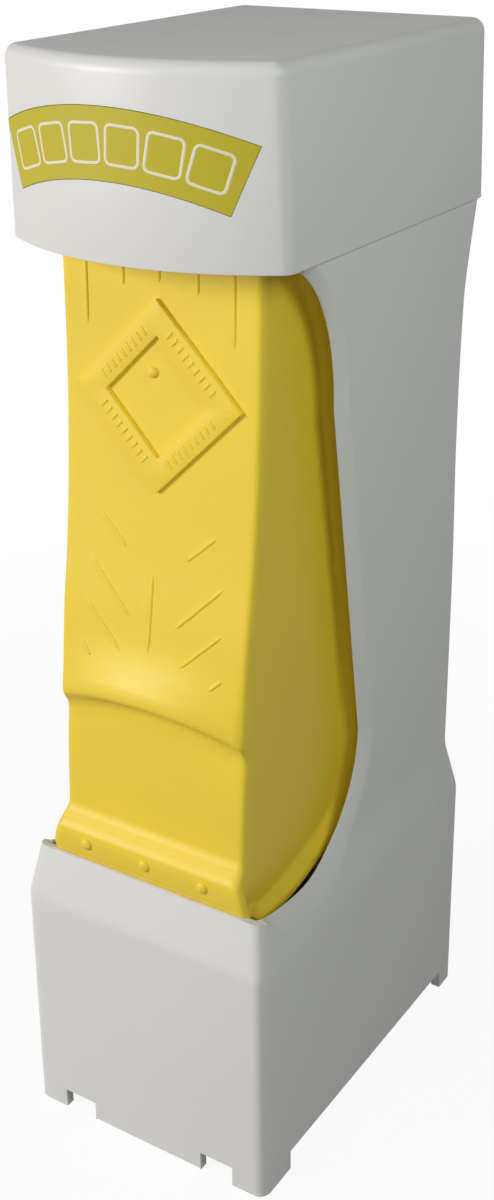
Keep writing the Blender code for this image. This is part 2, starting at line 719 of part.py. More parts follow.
def screw(name, place, direction, length, small=False, joint=None):
    """A pan-head screw whose head stands on a place and points a given way."""
    head = SMALL_HEAD_RADIUS if small else SCREW_HEAD_RADIUS
    height = SMALL_HEAD_HEIGHT if small else SCREW_HEAD_HEIGHT
    shank = SMALL_SCREW_RADIUS if small else SCREW_RADIUS
    edge = height * SCREW_EDGE_SHARE
    recess = head * SCREW_RECESS_SHARE
    profile = (
        (recess, height * SCREW_RECESS_SHARE), (recess, height),
        (head - edge, height), (head, height - edge), (head, 0),
        (shank, 0), (shank, -length),
    )
    return done(turned(name, profile, place, direction), "steel", joint)


def make_chute_screws():
    for index, (x, y) in enumerate(chute_boss_places(), 1):
        place = (x, y, CHUTE_TOP + TOUCH_GAP)
        screw(f"chute_screw_{index}", place, (0, 0, 1), SCREW_LENGTH)


def face_row(shares):
    """Points across the lever's face for one row, from left to right."""
    up, deep, bow, bulge, flare = shares
    half = LEVER_HALF + FLANGE_FLARE * flare
    row = []
    for column in range(FACE_COLUMNS + 1):
        across = 2 * column / FACE_COLUMNS - 1
        y = FACE_TOP_Y - FACE_DEPTH * (deep + bulge * (1 - across ** 2))
        z = LIP_BOTTOM + (FACE_TOP - LIP_BOTTOM) * up - FACE_BOW * bow * across ** 2
        row.append((across * half, y, z))
    return row


def face_shell():
    """The lever's front plate, an even wall behind its face."""
    rings = []
    for shares in FACE_ROW_SHARES:
        row = face_row(shares)
        behind = [(x, y + LEVER_WALL, z) for x, y, z in reversed(row)]
        rings.append(row + behind)
    return loft("lever", rings)


def face_y(height):
    """Where the face lies at a height, beside its middle bulge."""
    share = (height - LIP_BOTTOM) / (FACE_TOP - LIP_BOTTOM)
    depths = [(up, deep) for up, deep, *_ in FACE_ROW_SHARES]
    return FACE_TOP_Y - FACE_DEPTH * share_at(depths, share)


def crease():
    """Where the flange leaves the lever's side, from the top round to the lip."""
    top = (CREASE_TOP_Y, TOWER_TOP - CREASE_TOP_DROP - CREASE_TOP_CORNER)
    curve = ellipse_arc(top, CREASE_TOP_DEPTH, CREASE_TOP_CORNER, CREASE_TOP_ANGLE, 0)
    start = Vector(curve[-1])
    low = (CREASE_REAR_Y - CREASE_BOTTOM_DEPTH, CREASE_BOTTOM + CREASE_BOTTOM_CORNER)
    end = Vector((CREASE_REAR_Y, low[1]))
    for step in range(1, CURVE_STEPS):
        share = step / CURVE_STEPS
        point = start.lerp(end, share)
        curve.append((point.x + CREASE_BOW * 4 * share * (1 - share), point.y))
    curve += ellipse_arc(low, CREASE_BOTTOM_DEPTH, CREASE_BOTTOM_CORNER, 0, -90)
    front = (
        CREASE_FRONT_Y + CREASE_FRONT_DEPTH,
        CREASE_BOTTOM + CREASE_FRONT_RISE + CREASE_FRONT_CORNER,
    )
    curve += ellipse_arc(front, CREASE_FRONT_DEPTH, CREASE_FRONT_CORNER, -90, -180)
    return curve


def side_outline():
    """The lever's side: its crease, closed by a line inside the front plate."""
    outline = crease()
    low = outline[-1][1]
    high = outline[0][1]
    steps = 2 * CURVE_STEPS
    for step in range(steps + 1):
        height = low + (high - low) * step / steps
        outline.append((face_y(height) + LEVER_WALL / 2, height))
    return outline


def outward(curve, index):
    """Direction square to a curve at one of its points, away from its inside."""
    before = Vector(curve[max(index - 1, 0)])
    after = Vector(curve[min(index + 1, len(curve) - 1)])
    along = (after - before).normalized()
    return Vector((-along.y, along.x))


def flange(side):
    """Flared strip along the crease, as thick as the lever's wall."""
    curve = crease()
    rings = []
    for index, point in enumerate(curve):
        out = outward(curve, index)
        root = Vector(point) - out * LEVER_WALL / 2
        edge = Vector(point) + out * FLANGE_WIDTH
        rings.append([
            (side * (LEVER_INNER + INSET), root.x, root.y),
            (side * (LEVER_HALF - 2 * INSET), root.x, root.y),
            (side * (LEVER_HALF - 2 * INSET), point[0], point[1]),
            (side * FLANGE_HALF, edge.x, edge.y),
            (side * (FLANGE_HALF - LEVER_WALL), edge.x, edge.y),
            (side * (LEVER_INNER + INSET), point[0], point[1]),
        ])
    return loft("flange", rings)


def diamond(half, height, depth):
    """A square on its corner that follows the lever's face."""
    corners = ((0, half), (half, 0), (0, -half), (-half, 0))
    rings = []
    for stand in (height, -depth):
        ring = []
        for x, z in corners:
            ring.append((x, face_y(DIAMOND_Z + z) - stand, DIAMOND_Z + z))
        rings.append(ring)
    return loft("diamond", rings)


def lever_side(side):
    """Side plate, flange, drive lug and ear of one side of the lever."""
    inner = side * LEVER_INNER
    outer = side * LEVER_HALF
    lug_half = LUG_LENGTH / 2
    lug_foot = CUTTER_BOTTOM - LUG_REACH
    lug_head = CREASE_BOTTOM + CREASE_FRONT_CORNER
    lug = [
        (LUG_Y - lug_half, lug_foot), (LUG_Y + lug_half, lug_foot),
        (LUG_Y + lug_half, lug_head), (LUG_Y - lug_half, lug_head),
    ]
    root = TOWER_TOP - CREASE_TOP_DROP - CREASE_TOP_DEPTH / 2
    ear = [
        (FACE_TOP_Y + INSET, root), (LEVER_PIN_Y + LEVER_PIN_RADIUS, root),
        (LEVER_PIN_Y + LEVER_PIN_RADIUS, LEVER_PIN_Z), (FACE_TOP_Y + LEVER_WALL, LEVER_PIN_Z),
        (FACE_TOP_Y + INSET, FACE_TOP - INSET),
    ]
    ends = [
        (side * (LEVER_INNER - LEVER_WALL / 2), LEVER_PIN_Y, LEVER_PIN_Z),
        (side * (NECK_INNER - SIDE_GAP), LEVER_PIN_Y, LEVER_PIN_Z),
    ]
    inset = side * INSET
    return [
        slab("side", side_outline(), inner, outer - inset),
        flange(side),
        slab("lug", lug, inner - inset, outer + inset),
        slab("ear", ear, inner - inset, outer + inset),
        rod("barrel", BARREL_RADIUS, *ends, PIN_STEPS),
    ]


def make_lever(joint):
    """The yellow lever: front plate, two sides, lugs, ears and diamond."""
    body = face_shell()
    fuse(body, *lever_side(-1), *lever_side(1))
    inner_face = face_y(SPRING_Z) + LEVER_WALL
    spigot = rod(
        "spigot", SPIGOT_RADIUS,
        (0, inner_face - LEVER_WALL / 2, SPRING_Z),
        (0, inner_face + LEVER_SPIGOT_LENGTH, SPRING_Z),
    )
    fuse(body, spigot, diamond(DIAMOND_HALF, DIAMOND_HEIGHT, LEVER_WALL / 2))
    carve(body, diamond(DIAMOND_INNER, OVERRUN, DIAMOND_SINK))
    span = FLANGE_HALF + OVERRUN
    ends = ((-span, LEVER_PIN_Y, LEVER_PIN_Z), (span, LEVER_PIN_Y, LEVER_PIN_Z))
    carve(body, rod("pin_hole", LEVER_PIN_RADIUS + TOUCH_GAP, *ends, PIN_STEPS))
    return done(body, "yellow_plastic", joint)


def make_lever_pin():
    """Steel pin right across the neck, which the lever hangs on."""
    ends = (
        (-NECK_HALF, LEVER_PIN_Y, LEVER_PIN_Z),
        (NECK_HALF, LEVER_PIN_Y, LEVER_PIN_Z),
    )
    return done(rod("lever_pin", LEVER_PIN_RADIUS, *ends, PIN_STEPS), "steel")


def tube(name, path, radius, resolution, slot, joint=None):
    """A wire along a path, with its ends closed."""
    curve = bpy.data.curves.new(name, "CURVE")
    curve.dimensions = "3D"
    curve.bevel_depth = radius
    curve.bevel_resolution = resolution
    curve.use_fill_caps = True
    offset = joint.location if joint else Vector((0, 0, 0))
    line = curve.splines.new("POLY")
    line.points.add(len(path) - 1)
    for point, place in zip(line.points, path):
        point.co = (*(Vector(place) - offset), 1)
    body = bpy.data.objects.new(name, curve)
    bpy.context.scene.collection.objects.link(body)
    return done(body, slot, joint)


def make_return_spring():
    """Compression spring between the chute's spigot and the lever's."""
    start = CHUTE_FRONT - TOUCH_GAP - SPRING_WIRE
    lowest = face_y(SPRING_Z + SPRING_RADIUS) + LEVER_WALL
    end = lowest + TOUCH_GAP + SPRING_WIRE
    count = SPRING_TURNS * SPRING_POINTS
    path = []
    for step in range(count + 1):
        share = step / count
        angle = math.tau * SPRING_TURNS * share
        path.append((
            SPRING_RADIUS * math.sin(angle),
            start + (end - start) * share,
            SPRING_Z + SPRING_RADIUS * math.cos(angle),
        ))
    return tube("return_spring", path, SPRING_WIRE, 1, "steel")


def cutter_travel(swing):
    """How far the lugs drive the cutter frame for a swing of the lever."""
    drop = LEVER_PIN_Z - CUTTER_MIDDLE
    lead = LEVER_PIN_Y - LUG_Y
    return lead * (1 - 1 / math.cos(swing)) + drop * math.tan(swing)


def lug_slot_half():
    """Half-length of a lug's slot: the lug as it tilts, its lag, and clearance."""
    lean = CUTTER_HEIGHT / 2 * math.tan(LEVER_SWING)
    width = LUG_LENGTH / 2 / math.cos(LEVER_SWING)
    lag = abs(cutter_travel(LEVER_SWING / 2) - cutter_travel(LEVER_SWING) / 2)
    return lean + width + lag + TOUCH_GAP


def make_cutter_frame(joint):
    """U-shaped frame that slides on the rails and holds the wire taut."""
    body = block(
        "cutter_frame",
        (-CUTTER_HALF, CUTTER_FRONT, CUTTER_BOTTOM), (CUTTER_HALF, CUTTER_REAR, CUTTER_TOP),
    )
    carve(body, block(
        "gap",
        (-CUTTER_INNER, CUTTER_FRONT + CUTTER_BAR, CUTTER_BOTTOM - OVERRUN),
        (CUTTER_INNER, CUTTER_REAR + OVERRUN, CUTTER_TOP + OVERRUN),
    ))
    slot_half = lug_slot_half()
    for side in (-1, 1):
        ends = (side * (LEVER_INNER - SIDE_GAP), side * (LEVER_HALF + SIDE_GAP))
        carve(body, block(
            "slot",
            (min(ends), LUG_Y - slot_half, CUTTER_BOTTOM - OVERRUN),
            (max(ends), LUG_Y + slot_half, CUTTER_TOP + OVERRUN),
        ))
        x = side * WIRE_SCREW_X
        low = CUTTER_BOTTOM - OVERRUN
        high = CUTTER_TOP + OVERRUN
        carve(body, rod("hole", HOLE_RADIUS, (x, WIRE_SCREW_Y, low), (x, WIRE_SCREW_Y, high)))
        x = side * SHUTTER_SCREW_X
        y = CUTTER_FRONT + CUTTER_BAR / 2
        carve(body, rod("hole", SMALL_HOLE_RADIUS, (x, y, low), (x, y, high)))
    return done(body, "inner_plastic", joint)


def make_shutter(joint):
    """Steel plate that holds the stick up while the pat drops."""
    y = CUTTER_FRONT + CUTTER_BAR / 2
    body = block(
        "shutter_plate",
        (-SHUTTER_HALF, CUTTER_FRONT + TOUCH_GAP, SHUTTER_BOTTOM),
        (SHUTTER_HALF, SHUTTER_EDGE_Y, SHUTTER_TOP),
    )
    for side in (-1, 1):
        x = side * SHUTTER_SCREW_X
        ends = ((x, y, SHUTTER_BOTTOM - OVERRUN), (x, y, SHUTTER_TOP + OVERRUN))
        carve(body, rod("hole", SMALL_HOLE_RADIUS, *ends))
    done(body, "steel", joint)
    length = SHUTTER_TOP - CUTTER_BOTTOM
    for side, word in ((-1, "left"), (1, "right")):
        place = (side * SHUTTER_SCREW_X, y, CUTTER_BOTTOM - TOUCH_GAP)
        screw(f"shutter_screw_{word}", place, (0, 0, -1), length, True, joint)


def make_wire(joint):
    """Taut wire, hooked round a screw at each end under a washer."""
    hook = []
    for step in range(CURVE_STEPS + 1):
        angle = math.radians(-90 + 180 * step / CURVE_STEPS)
        hook.append((
            WIRE_SCREW_X + WIRE_LOOP_RADIUS * math.cos(angle),
            WIRE_SCREW_Y + WIRE_LOOP_RADIUS * math.sin(angle),
            WIRE_Z,
        ))
    path = [(-x, y, z) for x, y, z in reversed(hook)] + hook
    tube("cutting_wire", path, WIRE_RADIUS, 2, "steel", joint)
    for side, word in ((-1, "left"), (1, "right")):
        place = (side * WIRE_SCREW_X, WIRE_SCREW_Y, WASHER_BOTTOM)
        hole = SCREW_RADIUS + TOUCH_GAP
        rim = SCREW_HEAD_RADIUS
        profile = (
            (hole, 0), (hole, WASHER_THICKNESS), (rim, WASHER_THICKNESS), (rim, 0),
        )
        washer = turned(f"wire_washer_{word}", profile, place, (0, 0, 1), looped=True)
        done(washer, "steel", joint)
        place = (place[0], place[1], WASHER_BOTTOM + WASHER_THICKNESS + TOUCH_GAP)
        screw(f"wire_screw_{word}", place, (0, 0, 1), WIRE_SCREW_LENGTH, joint=joint)


def make_rails():
    """Two ledges screwed under the base's bosses, which carry the cutter."""
    for side, word in ((-1, "left"), (1, "right")):
        ends = (side * RAIL_INNER, side * RAIL_OUTER)
        body = block(
            f"guide_rail_{word}",
            (min(ends), -RAIL_HALF_LENGTH, RAIL_BOTTOM),
            (max(ends), RAIL_HALF_LENGTH, RAIL_TOP),
        )
        for place_side, y in rail_boss_places():
            if place_side == side:
                x = side * RAIL_SCREW_X
                span = ((x, y, RAIL_BOTTOM - OVERRUN), (x, y, RAIL_TOP + OVERRUN))
                carve(body, rod("hole", SMALL_HOLE_RADIUS, *span))
        done(body, "inner_plastic")
    for index, (side, y) in enumerate(rail_boss_places(), 1):
        place = (side * RAIL_SCREW_X, y, RAIL_BOTTOM - TOUCH_GAP)
        screw(f"rail_screw_{index}", place, (0, 0, -1), RAIL_SCREW_LENGTH, True)


def make_pat_stop():
    """Angle bracket whose ledge sets how thick the pat is."""
    foot = STOP_TOP - STOP_HEIGHT
    outline = [
        (STOP_FRONT_Y, STOP_TOP), (STOP_PLATE_BACK, STOP_TOP), (STOP_PLATE_BACK, foot),
        (STOP_PLATE_Y, foot), (STOP_PLATE_Y, STOP_TOP - STOP_THICKNESS),
        (STOP_FRONT_Y, STOP_TOP - STOP_THICKNESS),
    ]
    body = slab("pat_stop", outline, -STOP_HALF, STOP_HALF)
    under = STOP_TOP - STOP_THICKNESS / 2
    web = [
        (STOP_FRONT_Y + STOP_THICKNESS, under), (STOP_PLATE_Y + STOP_THICKNESS / 2, under),
        (STOP_PLATE_Y + STOP_THICKNESS / 2, foot + STOP_THICKNESS),
    ]
    fuse(body, slab("web", web, -STOP_THICKNESS / 2, STOP_THICKNESS / 2))
    for side in (-1, 1):
        x = side * STOP_SCREW_X
        ends = ((x, STOP_PLATE_Y - OVERRUN, STOP_SCREW_Z), (x, BASE_DEPTH_HALF, STOP_SCREW_Z))
        carve(body, rod("hole", HOLE_RADIUS, *ends))
    done(body, "inner_plastic")
    for side, word in ((-1, "left"), (1, "right")):
        place = (side * STOP_SCREW_X, STOP_PLATE_Y - TOUCH_GAP, STOP_SCREW_Z)
        screw(f"stop_screw_{word}", place, (0, -1, 0), RAIL_SCREW_LENGTH)


def lid_arc():
    """Radius of the lid's convex front, from its bulge and width."""
    return (LID_HALF ** 2 + LID_FRONT_BULGE ** 2) / (2 * LID_FRONT_BULGE)


def lid_front(x):
    """Where the lid's front lies across its width."""
    radius = lid_arc()
    return LID_FRONT_CORNER_Y - LID_FRONT_BULGE + radius - math.sqrt(radius ** 2 - x ** 2)


def lid_ring(height, inset):
    """A level ring of the lid, drawn in by an inset."""
    share = (height - LID_BOTTOM) / LID_HEIGHT
    half = LID_HALF - LID_TAPER * share - inset
    back = LID_BACK - inset
    corners = [(half, back)]
    radii = [max(LID_BACK_RADIUS - inset, 0.0)]
    for step in range(CURVE_STEPS + 1):
        x = half * (1 - 2 * step / CURVE_STEPS)
        corners.append((x, lid_front(x) + inset))
        ends = step in (0, CURVE_STEPS)
        radii.append(max(LID_FRONT_RADIUS - inset, 0.0) if ends else 0.0)
    corners.append((-half, back))
    radii.append(radii[0])
    return [(x, y, height) for x, y in rounded(corners, radii)]


def lid_shell():
    """The lid's hollow up and its outside up, joined at the bottom edge."""
    ceiling = LID_TOP - LID_WALL
    rings = [lid_ring(ceiling, LID_WALL), lid_ring(LID_BOTTOM, LID_WALL)]
    rings.append(lid_ring(LID_BOTTOM, 0))
    for step in range(CORNER_STEPS + 1):
        angle = math.radians(90 * step / CORNER_STEPS)
        inset = LID_EDGE_RADIUS * (1 - math.cos(angle))
        height = LID_TOP - LID_EDGE_RADIUS * (1 - math.sin(angle))
        rings.append(lid_ring(height, inset))
    return loft("lid", rings)


def badge_plate(name, spare, outer, inner):
    """An arc-shaped plate on the lid's front between two depths."""
    rings = []
    for step in range(BADGE_STEPS + 1):
        turn = 2 * step / BADGE_STEPS - 1
        angle = (BADGE_SPREAD + spare / BADGE_RADIUS) * turn
        ring = []
        for radius, depth in (
            (BADGE_RADIUS + spare, outer), (BADGE_RADIUS + spare, inner),
            (BADGE_RADIUS - BADGE_WIDTH - spare, inner),
            (BADGE_RADIUS - BADGE_WIDTH - spare, outer),
        ):
            x = radius * math.sin(angle)
            z = BADGE_CENTRE_Z + radius * math.cos(angle)
            ring.append((x, lid_front(x) + depth, z))
        rings.append(ring)
    return loft(name, rings)


def make_lid(joint):
    """Hollow cap with a bowed front, a visor below it and hinge knuckles."""
    body = lid_shell()
    visor_top = LID_BOTTOM + VISOR_THICKNESS
    half_wall = LID_WALL / 2
    levels = (LID_BOTTOM + INSET, visor_top)
    visor = loft("visor", [lid_ring(height, half_wall) for height in levels])
    carve(visor, block(
        "visor_cut",
        (-LID_HALF, VISOR_BACK_Y, LID_BOTTOM - OVERRUN), (LID_HALF, LID_BACK, LID_TOP),
    ))
    fuse(body, visor)
    fuse(body, *hinge_rods("knuckle", LID_KNUCKLES, KNUCKLE_RADIUS))
    notches = hinge_rods("notch", HOUSING_KNUCKLES, KNUCKLE_RADIUS + SIDE_GAP, SIDE_GAP)
    span = KNUCKLE_PITCH * 3
    hole = hinge_rods("hole", [(-span, span)], HINGE_PIN_RADIUS + TOUCH_GAP)
    pocket = badge_plate("pocket", TOUCH_GAP, -OVERRUN, BADGE_THICKNESS + TOUCH_GAP)
    carve(body, *notches, *hole, pocket)
    return done(body, "white_plastic", joint)


def make_badge(joint):
    """Plain yellow-green arc let flush into the lid's front."""
    return done(badge_plate("lid_badge", 0, 0, BADGE_THICKNESS), "badge_print", joint)


def make_hinge_pin():
    """Steel pin through the five knuckles."""
    span = LID_KNUCKLES[-1][1]
    ends = ((-span, HINGE_Y, HINGE_Z), (span, HINGE_Y, HINGE_Z))
    return done(rod("lid_hinge_pin", HINGE_PIN_RADIUS, *ends), "steel")


def build():
    """Make every piece of the slicer."""
    clear_scene()
    lever_axis = joint_empty("lever_axis", (0, LEVER_PIN_Y, LEVER_PIN_Z))
    lid_axis = joint_empty("lid_axis", (0, HINGE_Y, HINGE_Z))
    cutter_slide = joint_empty("cutter_slide", (0, 0, CUTTER_MIDDLE))
    make_housing()
    make_chute()
    make_chute_screws()
    make_lever_pin()
    make_lever(lever_axis)
    make_return_spring()
    make_cutter_frame(cutter_slide)
    make_shutter(cutter_slide)
    make_wire(cutter_slide)
    make_rails()
    make_pat_stop()
    make_lid(lid_axis)
    make_badge(lid_axis)
    make_hinge_pin()
    print("cutter travel, mm:", round(cutter_travel(LEVER_SWING) / MM, 3))
    print("lever to cutter, m per radian:", round(cutter_travel(LEVER_SWING) / LEVER_SWING, 6))


build()
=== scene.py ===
# %% [markdown]
# # A wire butter slicer
#
# A tall white housing holds a stick of butter. A yellow lever on its front
# drives a wire through the foot of the stick. This lesson dresses the packed
# CAD model: it gives each piece its rounded edges, its moulded details and its
# plastic or steel finish.
#
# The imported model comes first, as a frame that never moves. Every new piece is
# made in metres, in that same frame, so nothing has to be fitted afterwards.

import json
import math

import bmesh
import bpy
from mathutils import Matrix, Vector

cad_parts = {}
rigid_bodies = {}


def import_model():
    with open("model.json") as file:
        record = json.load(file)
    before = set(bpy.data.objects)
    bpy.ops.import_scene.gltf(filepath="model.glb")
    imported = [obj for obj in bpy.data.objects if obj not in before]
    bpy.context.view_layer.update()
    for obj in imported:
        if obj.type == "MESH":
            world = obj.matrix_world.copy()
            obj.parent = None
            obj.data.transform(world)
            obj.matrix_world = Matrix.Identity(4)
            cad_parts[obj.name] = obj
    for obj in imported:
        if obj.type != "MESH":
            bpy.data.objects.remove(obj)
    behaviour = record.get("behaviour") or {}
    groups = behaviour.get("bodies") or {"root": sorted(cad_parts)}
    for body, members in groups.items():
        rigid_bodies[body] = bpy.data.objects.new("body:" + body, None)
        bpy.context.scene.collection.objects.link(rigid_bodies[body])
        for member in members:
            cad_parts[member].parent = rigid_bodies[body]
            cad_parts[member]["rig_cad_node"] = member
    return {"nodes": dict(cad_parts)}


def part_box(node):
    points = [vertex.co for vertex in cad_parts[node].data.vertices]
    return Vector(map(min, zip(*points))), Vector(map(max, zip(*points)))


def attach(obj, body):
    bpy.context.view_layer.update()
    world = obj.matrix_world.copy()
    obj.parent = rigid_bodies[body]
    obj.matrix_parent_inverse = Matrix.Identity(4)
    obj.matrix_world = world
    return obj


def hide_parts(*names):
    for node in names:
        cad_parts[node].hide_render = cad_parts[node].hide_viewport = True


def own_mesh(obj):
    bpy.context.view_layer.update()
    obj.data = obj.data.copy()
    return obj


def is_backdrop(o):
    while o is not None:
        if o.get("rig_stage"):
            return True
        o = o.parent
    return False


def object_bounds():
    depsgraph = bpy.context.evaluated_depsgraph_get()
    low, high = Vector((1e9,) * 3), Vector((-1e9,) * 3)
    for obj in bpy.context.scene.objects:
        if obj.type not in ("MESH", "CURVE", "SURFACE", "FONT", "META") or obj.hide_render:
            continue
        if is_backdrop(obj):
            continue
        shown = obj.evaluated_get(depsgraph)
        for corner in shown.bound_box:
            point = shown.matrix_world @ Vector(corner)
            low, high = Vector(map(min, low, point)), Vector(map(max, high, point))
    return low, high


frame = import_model()
cad_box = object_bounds()
MM = 0.001
print("nodes in the frame:", len(frame["nodes"]))

# %% [markdown]
# ## The camera
#
# The picture was taken from in front of the slicer, a little above and to its
# right. A camera could be aimed by eye, but here the corners of the base, the
# tower and the lid were measured in the picture and the camera was solved from
# them. It looks at the middle of the slicer from an azimuth, an elevation and a
# distance, and it is rolled by a fraction of a degree.

# %% Place the camera
PICTURE_WIDTH = 494
PICTURE_HEIGHT = 1200
AZIMUTH = math.radians(33.01)
ELEVATION = math.radians(25.49)
ROLL = math.radians(-0.64)
TARGET = Vector((0, 0, 105)) * MM
SIDESTEP = -1.5 * MM
LIFT = 0.6 * MM
DISTANCE = 312.4 * MM
FOCAL_PIXELS = 1612.8
CENTRE_PIXELS = (244.1, 599.1)
SENSOR = 36.0


def place_camera():
    """A camera that sees the slicer as the picture does."""
    right = Vector((math.cos(AZIMUTH), math.sin(AZIMUTH), 0))
    back = Vector((
        math.sin(AZIMUTH) * math.cos(ELEVATION),
        -math.cos(AZIMUTH) * math.cos(ELEVATION),
        math.sin(ELEVATION),
    ))
    up = back.cross(right)
    across = right * math.cos(ROLL) + up * math.sin(ROLL)
    upward = up * math.cos(ROLL) - right * math.sin(ROLL)
    camera = bpy.data.objects.new("camera", bpy.data.cameras.new("camera"))
    bpy.context.scene.collection.objects.link(camera)
    spot = TARGET + back * DISTANCE + across * SIDESTEP + upward * LIFT
    turn = Matrix((across, upward, back)).transposed().to_4x4()
    camera.matrix_world = Matrix.Translation(spot) @ turn
    camera.data.sensor_width = SENSOR
    camera.data.lens = SENSOR * FOCAL_PIXELS / PICTURE_HEIGHT
    camera.data.shift_x = (PICTURE_WIDTH / 2 - CENTRE_PIXELS[0]) / PICTURE_HEIGHT
    camera.data.shift_y = (CENTRE_PIXELS[1] - PICTURE_HEIGHT / 2) / PICTURE_HEIGHT
    camera.data.clip_start = 10 * MM
    return camera


bpy.context.scene.camera = place_camera()
print("camera at, mm:", [round(c / MM, 1) for c in bpy.context.scene.camera.location])

# %% [markdown]
# ## Light and floor
#
# Product pictures of glossy plastic are lit by soft panels, because the plastic
# mirrors them and a small lamp would leave a hard spot. The main panel stands in
# front at the left and above the slicer, so that the raised details throw small
# shadows. A weaker one high at the right lights the side and the top, a faint
# one in front lifts the lowest edges, and an even pale sky fills the rest.
#
# The floor and the sky look white to the camera and in reflections, but give the
# slicer only plain pale light, so its colours stay as they are written. Near the
# slicer the floor is a little less white, so that a faint shadow still shows.

# %% Hang the soft panels
scene = bpy.context.scene
scene.view_settings.view_transform = "Standard"
FRONT_PANEL = ((-425, -535, 320), 280, 3.62, (1.0, 0.965, 0.945))
LOW_PANEL = ((190, -300, 225), 150, 0.12, (1.0, 0.985, 0.965))
SIDE_PANEL = ((320, -120, 370), 160, 0.53, (0.94, 1.0, 0.97))
SKY_STRENGTH = 0.09


def soft_panel(name, place, size, power, color):
    """A square lamp that faces the middle of the slicer."""
    lamp = bpy.data.lights.new(name, "AREA")
    lamp.shape = "SQUARE"
    lamp.size = size * MM
    lamp.energy = power
    lamp.color = color
    panel = bpy.data.objects.new(name, lamp)
    panel.location = Vector(place) * MM
    aim = TARGET - panel.location
    panel.rotation_euler = aim.to_track_quat("-Z", "Y").to_euler()
    scene.collection.objects.link(panel)


soft_panel("front_panel", *FRONT_PANEL)
soft_panel("low_panel", *LOW_PANEL)
soft_panel("side_panel", *SIDE_PANEL)

# %% Tell the camera's rays from the light
MIRRORED_WHITE = 0.5


def seen_directly(tree):
    """1 for camera rays, less in mirrors and glass, and 0 for light that fills a room."""
    path = tree.nodes.new("ShaderNodeLightPath")
    total = path.outputs["Is Camera Ray"]
    for name in ("Is Glossy Ray", "Is Transmission Ray"):
        add = tree.nodes.new("ShaderNodeMath")
        add.operation = "MULTIPLY_ADD"
        tree.links.new(path.outputs[name], add.inputs[0])
        add.inputs[1].default_value = MIRRORED_WHITE
        tree.links.new(total, add.inputs[2])
        total = add.outputs[0]
    return total


# %% Make the sky and the floor
FLOOR_RADIUS = 6000 * MM
FLOOR_LIT = (0.30, 0.30, 0.29, 1)
FLOOR_SEEN = (0.95, 0.95, 0.95, 1)
FLOOR_WHITE = (0.92, 1.0)
SHADOW_REACH = (80 * MM, 320 * MM)
FLOOR_ROUGHNESS = 0.9
FLOOR_SIDES = 64


def white_sky():
    world = bpy.data.worlds.new("sky")
    world.use_nodes = True
    tree = world.node_tree
    sky = tree.nodes["Background"]
    level = tree.nodes.new("ShaderNodeMix")
    level.inputs[2].default_value = SKY_STRENGTH
    level.inputs[3].default_value = 1.0
    tree.links.new(seen_directly(tree), level.inputs[0])
    tree.links.new(level.outputs[0], sky.inputs["Strength"])
    sky.inputs["Color"].default_value = (1, 1, 1, 1)
    scene.world = world


def pale_floor():
    material = bpy.data.materials.new("floor")
    material.use_nodes = True
    tree = material.node_tree
    shader = tree.nodes["Principled BSDF"]
    color = tree.nodes.new("ShaderNodeMixRGB")
    color.inputs["Color1"].default_value = FLOOR_LIT
    color.inputs["Color2"].default_value = FLOOR_SEEN
    seen = seen_directly(tree)
    tree.links.new(seen, color.inputs["Fac"])
    tree.links.new(color.outputs[0], shader.inputs["Base Color"])
    shader.inputs["Roughness"].default_value = FLOOR_ROUGHNESS
    glow = tree.nodes.new("ShaderNodeEmission")
    place = tree.nodes.new("ShaderNodeTexCoord")
    distance = tree.nodes.new("ShaderNodeVectorMath")
    distance.operation = "LENGTH"
    tree.links.new(place.outputs["Object"], distance.inputs[0])
    white = tree.nodes.new("ShaderNodeMapRange")
    for index, value in enumerate(SHADOW_REACH + FLOOR_WHITE, 1):
        white.inputs[index].default_value = value
    tree.links.new(distance.outputs["Value"], white.inputs[0])
    share = tree.nodes.new("ShaderNodeMath")
    share.operation = "MULTIPLY"
    tree.links.new(white.outputs[0], share.inputs[1])
    mix = tree.nodes.new("ShaderNodeMixShader")
    tree.links.new(seen, share.inputs[0])
    tree.links.new(share.outputs[0], mix.inputs[0])
    tree.links.new(shader.outputs[0], mix.inputs[1])
    tree.links.new(glow.outputs[0], mix.inputs[2])
    tree.links.new(mix.outputs[0], tree.nodes["Material Output"].inputs["Surface"])
    bpy.ops.mesh.primitive_circle_add(vertices=FLOOR_SIDES, radius=FLOOR_RADIUS, fill_type="NGON")
    floor = bpy.context.active_object
    floor.name = "floor"
    floor.data.materials.append(material)
    floor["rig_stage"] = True


white_sky()
pale_floor()
print("floor's radius, mm:", round(FLOOR_RADIUS / MM))

# %% [markdown]
# ## Moulded plastic
#
# The white plastic has a soft gloss, the yellow is satin with a very fine grain,
# and both vary a little in tone and gloss, as moulded plastic does. A photograph
# could be wrapped round the pieces, but noise that is read at each point of the
# piece needs no picture and has no seam. One function makes every plastic from
# its colour, its gloss and the size and strength of its grain.

# %% Make the plastics
PLASTIC_IOR = 1.5
COAT_ROUGHNESS = 0.12
CLOUDS = (45.0, 3.0)
GLOSS_SPOTS = 160.0
GLOSS_SPREAD = (-0.03, 0.05)
GRAIN_HEIGHT = 0.1 * MM
RAMP_ENDS = (0.1, 0.9)


def node(tree, kind, **values):
    """A node with some of its inputs filled in by name."""
    made = tree.nodes.new(kind)
    for name, value in values.items():
        made.inputs[name.replace("_", " ")].default_value = value
    return made


def noise(tree, scale, detail=2.0):
    """Noise that is fixed to the piece, with a scale in bumps to the metre."""
    place = tree.nodes.new("ShaderNodeTexCoord")
    made = node(tree, "ShaderNodeTexNoise", Scale=scale, Detail=detail)
    tree.links.new(place.outputs["Object"], made.inputs["Vector"])
    return made.outputs["Fac"]


